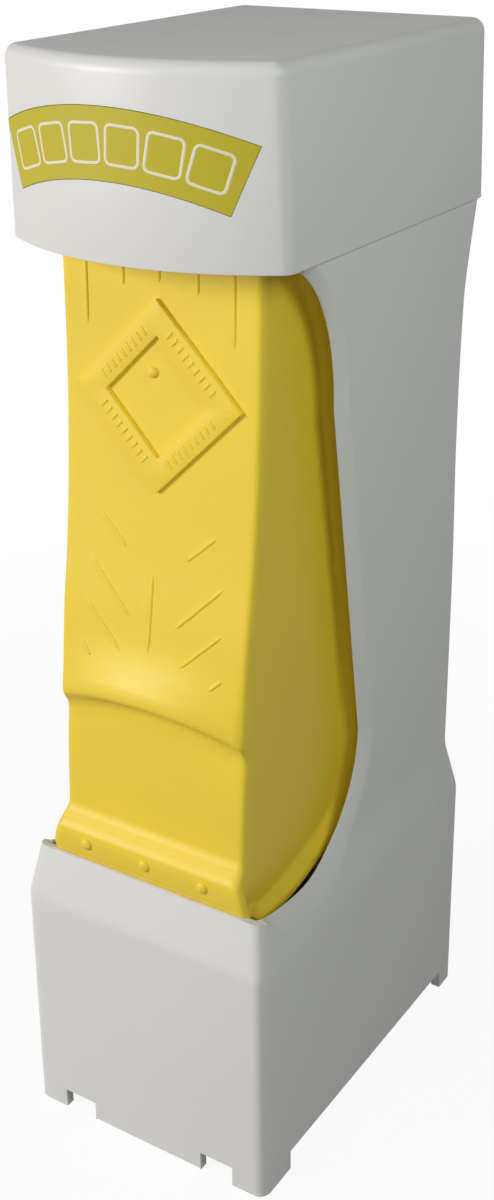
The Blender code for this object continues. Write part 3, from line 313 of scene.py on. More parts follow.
def ramp(tree, factor, low, high):
    """Two colours or greys, mixed by a factor."""
    made = tree.nodes.new("ShaderNodeValToRGB")
    for stop, position, color in zip(made.color_ramp.elements, RAMP_ENDS, (low, high)):
        stop.position = position
        stop.color = color
    tree.links.new(factor, made.inputs[0])
    return made.outputs[0]


def shade(color, share):
    return tuple(channel * share for channel in color[:3]) + (1,)


def plastic(name, color, gloss, grain, grain_depth, coat=0.0, tone=0.04):
    """A moulded plastic: soft cloudy tone, uneven gloss and a fine grain."""
    made = bpy.data.materials.new(name)
    made.use_nodes = True
    tree = made.node_tree
    shader = tree.nodes["Principled BSDF"]
    shader.inputs["Coat Weight"].default_value = coat
    shader.inputs["Coat Roughness"].default_value = COAT_ROUGHNESS
    shader.inputs["IOR"].default_value = PLASTIC_IOR
    cloudy = ramp(tree, noise(tree, *CLOUDS), shade(color, 1 - tone), color)
    tree.links.new(cloudy, shader.inputs["Base Color"])
    low, high = [(gloss + change,) * 3 + (1,) for change in GLOSS_SPREAD]
    tree.links.new(ramp(tree, noise(tree, GLOSS_SPOTS), low, high), shader.inputs["Roughness"])
    bump = node(tree, "ShaderNodeBump", Strength=grain_depth, Distance=GRAIN_HEIGHT)
    tree.links.new(noise(tree, grain), bump.inputs["Height"])
    tree.links.new(bump.outputs[0], shader.inputs["Normal"])
    return made


WHITE = plastic(
    "white_abs", (0.80, 0.80, 0.785, 1), gloss=0.38, grain=2400.0, grain_depth=0.02, tone=0.015,
)
YELLOW = plastic(
    "yellow_satin", (0.93, 0.69, 0.045, 1), gloss=0.46, grain=1500.0, grain_depth=0.30,
)
INNER = plastic(
    "inner_abs", (0.62, 0.62, 0.59, 1), gloss=0.34, grain=1200.0, grain_depth=0.15,
)
PRINT = plastic(
    "badge_print", (0.55, 0.48, 0.020, 1), gloss=0.60, grain=2200.0, grain_depth=0.08,
)
PATS = plastic(
    "pat_print", (0.86, 0.82, 0.56, 1), gloss=0.60, grain=2200.0, grain_depth=0.08,
)
print("plastics:", [m.name for m in (WHITE, YELLOW, INNER, PRINT, PATS)])

# %% [markdown]
# ## Steel
#
# The pins, screws, wire and spring are bright steel. Drawing a wire or turning
# a screw leaves fine scratches, which show as an uneven gloss. Noise that is
# stretched many times longer one way than the others makes such scratches.

# %% Make the steel
SCRATCH_DETAIL = 4.0
SCRATCH_SPREAD = (-0.08, 0.12)
SCRATCH_SHADE = 0.86
SCRATCH_DEPTH = 0.08
SCRATCH_HEIGHT = 0.05 * MM


def steel(name, color, gloss, stretch):
    """Bright steel with fine scratches along one direction."""
    made = bpy.data.materials.new(name)
    made.use_nodes = True
    tree = made.node_tree
    shader = tree.nodes["Principled BSDF"]
    shader.inputs["Metallic"].default_value = 1.0
    place = tree.nodes.new("ShaderNodeTexCoord")
    long_way = tree.nodes.new("ShaderNodeMapping")
    long_way.inputs["Scale"].default_value = stretch
    scratches = node(tree, "ShaderNodeTexNoise", Scale=1.0, Detail=SCRATCH_DETAIL)
    tree.links.new(place.outputs["Object"], long_way.inputs["Vector"])
    tree.links.new(long_way.outputs[0], scratches.inputs["Vector"])
    fine = scratches.outputs["Fac"]
    low, high = [(gloss + change,) * 3 + (1,) for change in SCRATCH_SPREAD]
    tree.links.new(ramp(tree, fine, low, high), shader.inputs["Roughness"])
    tree.links.new(ramp(tree, fine, shade(color, SCRATCH_SHADE), color), shader.inputs["Base Color"])
    bump = node(tree, "ShaderNodeBump", Strength=SCRATCH_DEPTH, Distance=SCRATCH_HEIGHT)
    tree.links.new(fine, bump.inputs["Height"])
    tree.links.new(bump.outputs[0], shader.inputs["Normal"])
    return made


STEEL_COLOR = (0.66, 0.66, 0.65, 1)
STEEL = steel("drawn_steel", STEEL_COLOR, 0.24, (120.0, 2600.0, 2600.0))
SHEET = steel("rolled_steel", STEEL_COLOR, 0.30, (2400.0, 90.0, 2400.0))
TURNED = steel("turned_steel", STEEL_COLOR, 0.28, (1700.0, 1700.0, 250.0))
print("steels:", [m.name for m in (STEEL, SHEET, TURNED)])

# %% [markdown]
# ## Tools for making meshes
#
# Most pieces here are lofts: a row of rings with equally many points, skinned
# with four-sided faces. That keeps the surface even, so a glossy finish mirrors
# the panels without dents. Edges between flat sides are marked sharp by their
# angle, and the rest is shaded smooth.

# %% Skins, joins and cuts
SHARP = math.radians(38)


def piece(name, points, faces, material):
    """A mesh object whose faces point outwards."""
    mesh = bpy.data.meshes.new(name)
    mesh.from_pydata([tuple(point) for point in points], [], faces)
    shape = bmesh.new()
    shape.from_mesh(mesh)
    bmesh.ops.recalc_face_normals(shape, faces=shape.faces)
    shape.to_mesh(mesh)
    shape.free()
    made = bpy.data.objects.new(name, mesh)
    scene.collection.objects.link(made)
    mesh.materials.append(material)
    mesh.shade_smooth()
    mesh.set_sharp_from_angle(angle=SHARP)
    return made


def loft(name, rings, material, looped=False):
    """Skin over rings of equally many points, capped unless it is looped."""
    count = len(rings[0])
    points = [point for ring in rings for point in ring]
    faces = []
    for row in range(len(rings) if looped else len(rings) - 1):
        low = row * count
        high = (row + 1) % len(rings) * count
        for column in range(count):
            after = (column + 1) % count
            faces.append((low + column, low + after, high + after, high + column))
    if not looped:
        faces.append(tuple(range(count)))
        faces.append(tuple(len(points) - count + column for column in range(count)))
    return piece(name, points, faces, material)


def slab(name, outline, start, end, material):
    """An outline of (y, z) points, run along X."""
    return loft(name, [[(x, y, z) for y, z in outline] for x in (start, end)], material)


def rod(name, radius, start, end, material, steps=40):
    """A round bar between two points."""
    start, end = Vector(start), Vector(end)
    turn = (end - start).to_track_quat("Z", "Y").to_matrix()
    rings = []
    for base in (start, end):
        ring = []
        for step in range(steps):
            angle = math.tau * step / steps
            ring.append(base + turn @ Vector((math.cos(angle), math.sin(angle), 0)) * radius)
        rings.append(ring)
    return loft(name, rings, material)


def plain(body):
    """Apply a piece's modifiers, so that only a mesh is left."""
    bpy.context.view_layer.update()
    shaped = body.evaluated_get(bpy.context.evaluated_depsgraph_get())
    body_mesh = bpy.data.meshes.new_from_object(shaped)
    body.modifiers.clear()
    body.data = body_mesh
    body_mesh.name = body.name
    return body


def combine(body, operation, tools):
    """Join or cut with other shapes, and remove those."""
    for tool in tools:
        change = body.modifiers.new("combine", "BOOLEAN")
        change.operation = operation
        change.solver = "EXACT"
        change.object = tool
        plain(body)
        bpy.data.objects.remove(tool, do_unlink=True)
    return body


def soften(body, width, segments=2, angle=50):
    """Round off the edges that turn by more than an angle."""
    bevel = body.modifiers.new("soften", "BEVEL")
    bevel.width = width
    bevel.segments = segments
    bevel.limit_method = "ANGLE"
    bevel.angle_limit = math.radians(angle)
    plain(body)
    body.data.shade_smooth()
    body.data.set_sharp_from_angle(angle=SHARP)
    return body


def finish(body, body_name, slot, *replaced):
    """Make a piece ride on a CAD body, in place of CAD nodes; the slot is not used."""
    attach(body, body_name)
    if replaced:
        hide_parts(*replaced)
    body.data.calc_loop_triangles()
    print(f"{body.name}: {len(body.data.loop_triangles)} triangles")
    return body


# %% [markdown]
# ## Curves that the outlines follow
#
# The housing widens towards its foot in straight stretches, and moulds round
# off each change of slope. An average over a short reach does that to any line
# of straight stretches: far from a kink it changes nothing. The waist of the
# back and the lever's face need a smooth curve through a few heights instead,
# which a cubic through the stops gives, with slopes that never overshoot.

# %% Read a line of stops


def stretch_at(stops, where):
    """Straight-line reading between stops."""
    for (start, low), (end, high) in zip(stops, stops[1:]):
        if where <= end:
            return low + (high - low) * (where - start) / (end - start)
    (start, low), (end, high) = stops[-2:]
    return low + (high - low) * (where - start) / (end - start)


def soft_at(stops, where, reach, samples=8):
    """The same, averaged over a reach, so that each kink is rounded."""
    steps = [2 * (step + 0.5) / samples - 1 for step in range(samples)]
    return sum(stretch_at(stops, where + reach * step) for step in steps) / samples


def smooth_at(stops, where):
    """A smooth curve through the stops that never overshoots them."""
    slopes = [
        (high - low) / (end - start)
        for (start, low), (end, high) in zip(stops, stops[1:])
    ]
    for index, slope in enumerate(slopes):
        if where <= stops[index + 1][0] or index == len(slopes) - 1:
            break

    def tangent(spot):
        if spot in (0, len(slopes)):
            return slopes[0 if spot == 0 else -1]
        before, after = slopes[spot - 1], slopes[spot]
        return 0.0 if before * after <= 0 else 2 * before * after / (before + after)

    (start, low), (end, high) = stops[index:index + 2]
    span = end - start
    share = min(max((where - start) / span, 0.0), 1.0)
    ease = share * share * (3 - 2 * share)
    lead = tangent(index) * span * share * (1 - share) ** 2
    lag = tangent(index + 1) * span * share * share * (1 - share)
    return low + (high - low) * ease + lead - lag


print("halfway up a soft kink:", round(soft_at(((0, 0), (1, 0), (2, 1)), 1, 0.5), 3))

# %% [markdown]
# ## The white housing
#
# The housing is one moulding: a square foot, a sloped shoulder and a tower with
# a slim waist at the back. It is lofted from the table up to the lid, over the
# top of its neck and down the inside again, in one closed skin. The side
# opening that the lever looks out of is then cut through both walls at once,
# and so are the arches between its four feet.

# %% Loft the housing's skin
WALL = 2.0 * MM
CORNER = 2.4 * MM
CORNER_STEPS = 10
FOOT_LEVEL = 51.7 * MM
SHOULDER_LEVEL = 63.0 * MM
TOWER_LEVEL = 178.9 * MM
NECK_LEVEL = 186.0 * MM
EASE = 1.3 * MM
WIDTHS = (
    (-10 * MM, 27.97 * MM), (FOOT_LEVEL, 27.5 * MM),
    (SHOULDER_LEVEL, 25.5 * MM), (190 * MM, 26.7 * MM),
)
FRONTS = (
    (-10 * MM, 40.94 * MM), (FOOT_LEVEL, 40.7 * MM),
    (SHOULDER_LEVEL, 38.1 * MM), (190 * MM, 38.1 * MM),
)
WAIST = 3.5 * MM
WAIST_SHARES = (
    (0.0, 0.0), (0.24, 0.24), (0.38, 0.42), (0.60, 0.88),
    (0.75, 1.0), (0.84, 0.97), (0.93, 0.50), (1.0, 0.0),
)
NECK_HALF = 24.7 * MM
NECK_BACK = 36.0 * MM
TOWER_FRONT = 38.1 * MM
ARCH_LEVEL = 4.4 * MM
FOOT_PITCH = 8
TOWER_PITCH = 4 * MM
TOP_GAP = 0.3 * MM
NECK_LIP = 0.12 * MM
NECK_LIP_SHARE = 0.3


def housing_half(height):
    return soft_at(WIDTHS, height, EASE)


def housing_front(height):
    return soft_at(FRONTS, height, EASE)


def housing_back(height):
    share = (height - SHOULDER_LEVEL) / (TOWER_LEVEL - SHOULDER_LEVEL)
    dip = smooth_at(WAIST_SHARES, share) if share > 0 else 0.0
    return housing_front(height) - WAIST * dip


def box_ring(half, front, back, radius, height, steps=CORNER_STEPS):
    """A level ring of a rectangle with rounded corners."""
    ring = []
    corners = ((1, front, -90), (1, back, 0), (-1, back, 90), (-1, front, 180))
    for side, depth, start in corners:
        inward = radius if depth == front else -radius
        for step in range(steps + 1):
            angle = math.radians(start + 90 * step / steps)
            ring.append((
                side * (half - radius) + radius * math.cos(angle),
                depth + inward + radius * math.sin(angle), height,
            ))
    return ring


def skin_heights():
    """Heights of the skin's rings, close together where the slope changes."""
    heights = [0.0, ARCH_LEVEL]
    pitches = [step * FOOT_PITCH * MM for step in range(1, 6)]
    heights += [height for height in pitches if height < FOOT_LEVEL - 2 * EASE]
    for kink in (FOOT_LEVEL, SHOULDER_LEVEL):
        heights += [kink + EASE * step / 3 for step in range(-4, 5)]
    top = TOWER_LEVEL - TOP_GAP
    height = SHOULDER_LEVEL + 2 * EASE
    while height < top:
        heights.append(height)
        height += TOWER_PITCH
    return sorted(set(heights)) + [top]


def housing_skin():
    """The outside up, over the neck, and the inside down."""
    outside = []
    inside = []
    for height in skin_heights():
        half, front, back = housing_half(height), -housing_front(height), housing_back(height)
        outside.append(box_ring(half, front, back, CORNER, height))
        if height < TOWER_LEVEL - 2 * WALL:
            inside.append(box_ring(
                half - WALL, front + WALL, back - WALL, CORNER - WALL, height,
            ))
    half = housing_half(TOWER_LEVEL)
    back = housing_back(TOWER_LEVEL)
    lip = NECK_LIP
    start = NECK_LIP * NECK_LIP_SHARE
    outside.append(box_ring(half - start, -TOWER_FRONT, back - start, CORNER, TOWER_LEVEL - start))
    outside.append(box_ring(half - lip, -TOWER_FRONT, back - lip, CORNER - lip, TOWER_LEVEL))
    neck = (-TOWER_FRONT, NECK_BACK)
    outside.append(box_ring(NECK_HALF, *neck, CORNER, TOWER_LEVEL))
    outside.append(box_ring(NECK_HALF, *neck, CORNER, NECK_LEVEL))
    hollow = (NECK_HALF - WALL, -TOWER_FRONT + WALL, NECK_BACK - WALL, CORNER - WALL)
    inside.append(box_ring(*hollow, TOWER_LEVEL - WALL))
    inside.append(box_ring(*hollow, NECK_LEVEL))
    return loft("housing_shell", outside + inside[::-1], WHITE, looped=True)


housing = housing_skin()
print("housing skin:", len(housing.data.vertices), "points")

# %% [markdown]
# ## The side opening and its rim
#
# Seen from the side, the opening runs down from the lid in a long line, rounds a
# wide corner at the bottom and rises to the front of the foot. Its edge is a
# soft rim that slants in towards the lever, narrow under the lid and wide at the
# bottom. Bevelling the cut edge or sweeping one profile along it would give a rim
# of one width. So each place on the edge gets a direction into the wall and a
# width of its own, and the cut is made deeper by that width.

# %% Draw the opening's outline
OPENING_BOTTOM = (-22.0 * MM, 60.1 * MM)
OPENING_DIP = 2.2 * MM
OPENING_REAR = -0.1 * MM
OPENING_UPPER = (-12.4 * MM, 152.0 * MM)
OPENING_TOP = (-29.0 * MM, TOWER_LEVEL)
OPENING_CORNER = 23.9 * MM
RIM_WIDTHS = (
    (0.0, 0.0), (2.1 * MM, 0.0), (6.3 * MM, 3.2 * MM), (14.6 * MM, 4.5 * MM),
    (22 * MM, 4.6 * MM), (32 * MM, 3.5 * MM), (42 * MM, 2.9 * MM), (60 * MM, 2.7 * MM),
    (120 * MM, 2.5 * MM), (142 * MM, 1.8 * MM), (300 * MM, 1.6 * MM),
)
LID_ROOM = 0.05 * MM
NECK_FRONT = -27.5 * MM
OVERRUN = 6 * MM
DIP_STEPS = 20
CURVE_STEPS = 28
LINE_STEPS = 16


def ellipse_arc(centre, across, up, start, end, steps):
    """Points of an elliptical corner from one angle to another, in degrees."""
    arc = []
    for step in range(steps + 1):
        angle = math.radians(start + (end - start) * step / steps)
        arc.append((centre[0] + across * math.cos(angle), centre[1] + up * math.sin(angle)))
    return arc


def opening_outline():
    """Edge of the opening, from the front of the foot up to the lid."""
    edge = []
    for step in range(DIP_STEPS):
        share = step / DIP_STEPS
        y = -TOWER_FRONT + (OPENING_BOTTOM[0] + TOWER_FRONT) * share
        edge.append((y, OPENING_BOTTOM[1] + OPENING_DIP * (1 - share) ** 2))
    low = (OPENING_BOTTOM[0], OPENING_BOTTOM[1] + OPENING_CORNER)
    reach = OPENING_REAR - OPENING_BOTTOM[0]
    edge += ellipse_arc(low, reach, OPENING_CORNER, -90, 0, CURVE_STEPS)
    start, end = Vector(edge[-1]), Vector(OPENING_UPPER)
    edge += [tuple(start.lerp(end, step / LINE_STEPS)) for step in range(1, LINE_STEPS)]
    high = (OPENING_TOP[0], OPENING_UPPER[1])
    reach = OPENING_UPPER[0] - OPENING_TOP[0]
    edge += ellipse_arc(high, reach, OPENING_TOP[1] - OPENING_UPPER[1], 0, 90, CURVE_STEPS)
    return edge


def rim_stations(curve):
    """(point, direction into the wall, rim width) along the opening's edge."""
    stations = []
    length = 0.0
    for index, point in enumerate(curve):
        here = Vector(point)
        before = Vector(curve[max(index - 1, 0)])
        after = Vector(curve[min(index + 1, len(curve) - 1)])
        along = (after - before).normalized()
        into = Vector((along.y, -along.x))
        length += (here - before).length
        width = smooth_at(RIM_WIDTHS, length)
        if into.y > 0:
            width = min(width, (TOWER_LEVEL - LID_ROOM - here.y) / into.y)
        stations.append((here, into, max(width, 0.0)))
    return stations


opening = opening_outline()
stations = rim_stations(opening)
deeper = [tuple(here + into * width) for here, into, width in stations]
print("opening's outline:", len(opening), "points")

# %% Cut the opening and the arches
FOOT_HEIGHT = 4.4 * MM
FOOT_WIDTH = 7.4 * MM
FOOT_FRONT_LENGTH = 9.9 * MM
FOOT_BACK_LENGTH = 6.4 * MM
TAB_HALF = 13.0 * MM
TAB_LIFT = 0.4 * MM
FOOT_HALF = 27.9 * MM
FOOT_DEPTH = 40.9 * MM


def block(name, low, high, material=WHITE):
    outline = ((low[1], low[2]), (high[1], low[2]), (high[1], high[2]), (low[1], high[2]))
    return slab(name, outline, low[0], high[0], material)


CUT_RISE = 0.5 * MM
LID_CLEAR = 0.2 * MM


def opening_cutter():
    """All that is taken away in front of the rim and of the neck."""
    ahead = -FOOT_DEPTH - OVERRUN
    lid = [point for point in deeper if point[1] < TOWER_LEVEL - LID_CLEAR]
    outline = [(ahead, lid[0][1] + CUT_RISE)] + lid
    outline += [(lid[-1][0], TOWER_LEVEL), (NECK_FRONT, TOWER_LEVEL)]
    outline += [(NECK_FRONT, NECK_LEVEL + OVERRUN), (ahead, NECK_LEVEL + OVERRUN)]
    return slab("cut", outline, -FOOT_HALF - OVERRUN, FOOT_HALF + OVERRUN, WHITE)


def arch_cutters():
    """Gaps between the feet and beside the front tab."""
    side = FOOT_HALF + OVERRUN
    depth = FOOT_DEPTH + OVERRUN
    foot = FOOT_HALF - FOOT_WIDTH
    front = -FOOT_DEPTH + FOOT_FRONT_LENGTH
    back = FOOT_DEPTH - FOOT_BACK_LENGTH
    under = -OVERRUN
    return [
        block("cut", (-side, front, under), (side, back, FOOT_HEIGHT)),
        block("cut", (-foot, 0, under), (foot, depth, FOOT_HEIGHT)),
        block("cut", (-TAB_HALF, -depth, under), (TAB_HALF, 0, TAB_LIFT)),
        block("cut", (-foot, -depth, under), (-TAB_HALF, 0, FOOT_HEIGHT)),
        block("cut", (TAB_HALF, -depth, under), (foot, 0, FOOT_HEIGHT)),
    ]


combine(housing, "DIFFERENCE", [opening_cutter(), *arch_cutters()])
print("housing after the cuts:", len(housing.data.polygons), "faces")

# %% [markdown]
# ## Knuckles and the pin's hole
#
# The lid turns on a steel pin at the back. Two of the five knuckles that hold
# the pin belong to the housing and three to the lid, and each has a notch in the
# other to turn in. The lever's own pin goes straight through the neck.

# %% Add the hinge to the housing
HINGE = (38.6 * MM, 179.0 * MM)
KNUCKLE_RADIUS = 2.0 * MM
KNUCKLE_WIDTH = 6.2 * MM
KNUCKLE_PITCH = 6.6 * MM
KNUCKLE_GAP = 0.4 * MM
HINGE_HOLE = 1.3 * MM
HOUSING_KNUCKLES = (-1, 1)
LID_KNUCKLES = (-2, 0, 2)
PIN = (-22.0 * MM, 183.0 * MM)
PIN_HOLE = 2.3 * MM


def knuckles(places, radius, spare=0.0):
    """Round bars on the hinge's axis."""
    made = []
    for place in places:
        middle = place * KNUCKLE_PITCH
        half = KNUCKLE_WIDTH / 2 + spare
        ends = ((middle - half, *HINGE), (middle + half, *HINGE))
        made.append(rod("knuckle", radius, *ends, WHITE))
    return made


def axle(name, radius, place, half):
    return rod(name, radius, (-half, *place), (half, *place), WHITE)


combine(housing, "UNION", knuckles(HOUSING_KNUCKLES, KNUCKLE_RADIUS))
notches = knuckles(LID_KNUCKLES, KNUCKLE_RADIUS + KNUCKLE_GAP, KNUCKLE_GAP)
holes = [
    axle("hole", HINGE_HOLE, HINGE, 3 * KNUCKLE_PITCH),
    axle("hole", PIN_HOLE, PIN, FOOT_HALF + OVERRUN),
]
combine(housing, "DIFFERENCE", notches + holes)
HOUSING_SOFT = 0.25 * MM
HOUSING_TURN = 55
soften(housing, HOUSING_SOFT, 2, HOUSING_TURN)
finish(housing, "base", "white_plastic", "housing")

# %% [markdown]
# ## Bosses inside the housing
#
# Screws need thick places to bite in. Four round bosses under the neck take the
# chute's screws, four square ones in the foot take the rails' screws and two
# round ones take the stop's. They are plain joined shapes, cut from the same
# plastic and rooted in the walls.

# %% Make the bosses
BOSS_RADIUS = 2.5 * MM
BOSS_HOLE = 1.3 * MM
CHUTE_BOSSES = [(side * 20.7 * MM, y) for side in (-1, 1) for y in (-8.0 * MM, 29.5 * MM)]
RAIL_BOSS_X = (22.3 * MM, 26.3 * MM)
RAIL_BOSS_Z = (46.3 * MM, 50.2 * MM)
RAIL_BOSS_Y = 28.0 * MM
RAIL_BOSS_HALF = 3.0 * MM
STOP_BOSS_X = 5.0 * MM
STOP_BOSS_Z = 35.75 * MM
STOP_BOSS_Y = (34.2 * MM, 39.4 * MM)
BOSS_SOFT = 0.3 * MM


def bored(body, radius, start, end):
    return combine(body, "DIFFERENCE", [rod("bore", radius, start, end, WHITE, 24)])


def join(name, bodies):
    """One mesh object from several, which may touch."""
    shape = bmesh.new()
    for body in bodies:
        shape.from_mesh(body.data)
    mesh = bpy.data.meshes.new(name)
    shape.to_mesh(mesh)
    shape.free()
    mesh.materials.append(bodies[0].data.materials[0])
    mesh.shade_smooth()
    mesh.set_sharp_from_angle(angle=SHARP)
    for body in bodies:
        bpy.data.objects.remove(body, do_unlink=True)
    made = bpy.data.objects.new(name, mesh)
    scene.collection.objects.link(made)
    return made


def make_bosses():
    bosses = []
    foot = TOWER_LEVEL - WALL
    for x, y in CHUTE_BOSSES:
        boss = rod("boss", BOSS_RADIUS, (x, y, foot), (x, y, NECK_LEVEL), WHITE)
        bosses.append(bored(boss, BOSS_HOLE, (x, y, foot + MM), (x, y, NECK_LEVEL + OVERRUN)))
    for side in (-1, 1):
        for y in (-RAIL_BOSS_Y, RAIL_BOSS_Y):
            spans = sorted(side * x for x in RAIL_BOSS_X)
            low = (spans[0], y - RAIL_BOSS_HALF, RAIL_BOSS_Z[0])
            high = (spans[1], y + RAIL_BOSS_HALF, RAIL_BOSS_Z[1])
            bosses.append(soften(block("boss", low, high), BOSS_SOFT))
        x = side * STOP_BOSS_X
        start = (x, STOP_BOSS_Y[0], STOP_BOSS_Z)
        boss = rod("boss", BOSS_RADIUS, start, (x, STOP_BOSS_Y[1], STOP_BOSS_Z), WHITE)
        reach = (x, STOP_BOSS_Y[1] - MM, STOP_BOSS_Z)
        bosses.append(bored(boss, BOSS_HOLE, (x, 0, STOP_BOSS_Z), reach))
    return join("housing_bosses", bosses)


finish(make_bosses(), "base", "white_plastic", "housing")

# %% [markdown]
# ## Helpers for Geometry Nodes
#
# What repeats or follows a path is made by Geometry Nodes. A tree is built here
# in the script, with a named input for each size. It ends by making its copies
# real and giving them a material. The result is then turned into a plain mesh,
# because a saved model keeps meshes and not the trees that made them.

# %% Build and run node trees


class Tree:
    """A Geometry Nodes tree with named number inputs and a material."""

    def __init__(self, name, sizes):
        self.tree = bpy.data.node_groups.new(name, "GeometryNodeTree")
        face = self.tree.interface
        face.new_socket("Geometry", in_out="INPUT", socket_type="NodeSocketGeometry")
        for label, value in sizes.items():
            socket = face.new_socket(label, in_out="INPUT", socket_type="NodeSocketFloat")
            socket.default_value = value
        face.new_socket("Material", in_out="INPUT", socket_type="NodeSocketMaterial")
        face.new_socket("Geometry", in_out="OUTPUT", socket_type="NodeSocketGeometry")
        self.start = self.tree.nodes.new("NodeGroupInput")
        self.sizes = sizes

    def size(self, label):
        return self.start.outputs[label]

    def add(self, kind, feeds=None, **settings):
        """Add a node, set its choices, and feed its inputs with links or values."""
        made = self.tree.nodes.new(kind)
        for name, value in settings.items():
            setattr(made, name, value)
        for socket, feed in (feeds or {}).items():
            if isinstance(feed, bpy.types.NodeSocket):
                self.tree.links.new(feed, made.inputs[socket])
            else:
                made.inputs[socket].default_value = feed
        return made.outputs[0]

    def math(self, operation, *feeds):
        return self.add("ShaderNodeMath", dict(enumerate(feeds)), operation=operation)

    def close(self, last):
        """Make the copies real, shade them smooth and give them the material."""
        real = self.add("GeometryNodeRealizeInstances", {0: last})
        smooth = self.add("GeometryNodeSetShadeSmooth", {0: real, 2: True})
        painted = self.add("GeometryNodeSetMaterial", {0: smooth, 2: self.size("Material")})
        end = self.tree.nodes.new("NodeGroupOutput")
        self.tree.links.new(painted, end.inputs[0])

    def grow(self, name, seed, material):
        """Run the tree on a seed mesh and keep the result as a plain piece."""
        body = bpy.data.objects.new(name, seed)
        scene.collection.objects.link(body)
        change = body.modifiers.new("grow", "NODES")
        change.node_group = self.tree
        for item in self.tree.interface.items_tree:
            if item.in_out == "INPUT" and item.name in self.sizes:
                change[item.identifier] = self.sizes[item.name]
            if item.in_out == "INPUT" and item.name == "Material":
                change[item.identifier] = material
        plain(body)
        if not body.data.materials:
            body.data.materials.append(material)
        return body


def lines(name, paths, **values):
    """A seed mesh of open lines, with one number for each point if asked."""
    points = [tuple(point) for path in paths for point in path]
    edges = []
    first = 0
    for path in paths:
        edges += [(first + step, first + step + 1) for step in range(len(path) - 1)]
        first += len(path)
    mesh = bpy.data.meshes.new(name)
    mesh.from_pydata(points, edges, [])
    for label, numbers in values.items():
        kept = mesh.attributes.new(label, "FLOAT", "POINT")
        kept.data.foreach_set("value", numbers)
    return mesh


# %% [markdown]
# ## The soft rim
#
# The rim is a strip that is lofted once for each side, through one section at
# every place on the opening's edge. A section starts a little over the cut,
# slants inwards, rounds over and ends straight inside the wall. It reads the
# housing's own width at each depth, so it follows the wall round its corner.

# %% Loft the soft rim
RIM_DEPTHS = (
    (0.0, 1.0), (0.42, 0.70), (0.84, 0.42), (1.16, 0.21), (1.40, 0.08), (1.62, 0.0),
    (1.80, 0.03), (1.93, 0.16), (1.95, 0.30),
)
RIM_START = -36.0 * MM
RIM_ROOT = 0.5 * MM
RIM_COVER = ((0.3 * MM, 0.5 * MM), (-0.01 * MM, 0.35 * MM))
RIM_THINNEST = 0.02 * MM


def wall_at(y, height, depth):
    """Half-width of the housing at a depth inside its outer surface."""
    half = housing_half(height)
    turn = -housing_front(height) + CORNER
    if y >= turn:
        return half - depth
    radius = CORNER - depth
    return half - CORNER + math.sqrt(max(radius ** 2 - (turn - y) ** 2, 0.0))


def rim_ring(side, station):
    """The rim's section: slanted outside, rounded over and straight inside."""
    here, into, width = station
    section = [(depth * MM, share * width) for depth, share in RIM_DEPTHS]
    cover = [(depth, width + reach) for depth, reach in RIM_COVER]
    section = cover + section + [(section[-1][0], width + RIM_ROOT)]
    ring = []
    for depth, reach in section:
        spot = here + into * reach
        spot.y = min(spot.y, TOWER_LEVEL - LID_ROOM)
        ring.append((side * wall_at(spot.x, spot.y, depth), spot.x, spot.y))
    return ring


def soft_rim():
    kept = [item for item in stations if item[0].x >= RIM_START or item[0].y > SHOULDER_LEVEL]
    kept = [item for item in kept if item[2] > RIM_THINNEST]
    sides = []
    for side in (-1, 1):
        sides.append(loft("rim", [rim_ring(side, item) for item in kept], WHITE))
    return join("housing_rim", sides)


finish(soft_rim(), "base", "white_plastic", "housing")

# %% [markdown]
# ## The yellow lever's skin
#
# The lever is a thin shell that is open at the back. Going round it from one
# side, its skin starts at the edge of a flared flange, rounds the crease, runs
# along the flat side, turns the front corner and crosses the face. Every row of
# the skin is made of those same stretches, so the whole lever is one grid of
# four-sided faces. Solidify then gives the grid its wall.
#
# From the top down, the face leans forward, swells into a crescent, breaks off
# at a curved ridge for the finger, falls back into a hollow and ends in a lip.

# %% Describe the lever's face
FACE_TOP = 181.2 * MM
FACE_BOTTOM = 62.7 * MM
FACE_HEIGHT = FACE_TOP - FACE_BOTTOM
FACE_Y = -27.2 * MM
FACE_DEPTH = 10.8 * MM
SIDE_X = 20.2 * MM
FLARE = 2.2 * MM
LEVER_WALL = 1.5 * MM
RIDGE_BOW = 3.4 * MM
LIP_DROP = 0.5 * MM
LIP_SHARE = 0.03
FACE_CORNER = 1.3 * MM
FACE_TRIES = 6
SWELL_CURVE = 1.3
LEANS = (
    (0.0, 0.94), (0.012, 0.985), (0.030, 1.0), (0.044, 0.985), (0.053, 0.93),
    (0.062, 0.84), (0.071, 0.755), (0.081, 0.715), (0.16, 0.665), (0.24, 0.605),
    (0.262, 0.58), (0.276, 0.575), (0.287, 0.595), (0.295, 0.635), (0.301, 0.675),
    (0.306, 0.70), (0.312, 0.705), (0.345, 0.65), (0.385, 0.58), (0.43, 0.51),
    (0.53, 0.33), (0.66, 0.165), (0.81, 0.055), (1.0, 0.0),
)
BOWS = ((0.0, 0.0), (0.10, 0.0), (0.20, 0.4), (0.285, 1.0), (0.31, 1.0), (0.42, 0.0), (1.0, 0.0))
SWELLS = (
    (0.0, 0.0), (0.272, 0.0), (0.286, 0.04), (0.296, 0.12), (0.304, 0.19),
    (0.311, 0.215), (0.326, 0.20), (0.346, 0.135), (0.372, 0.05), (0.396, 0.012),
    (0.42, 0.0), (1.0, 0.0),
)


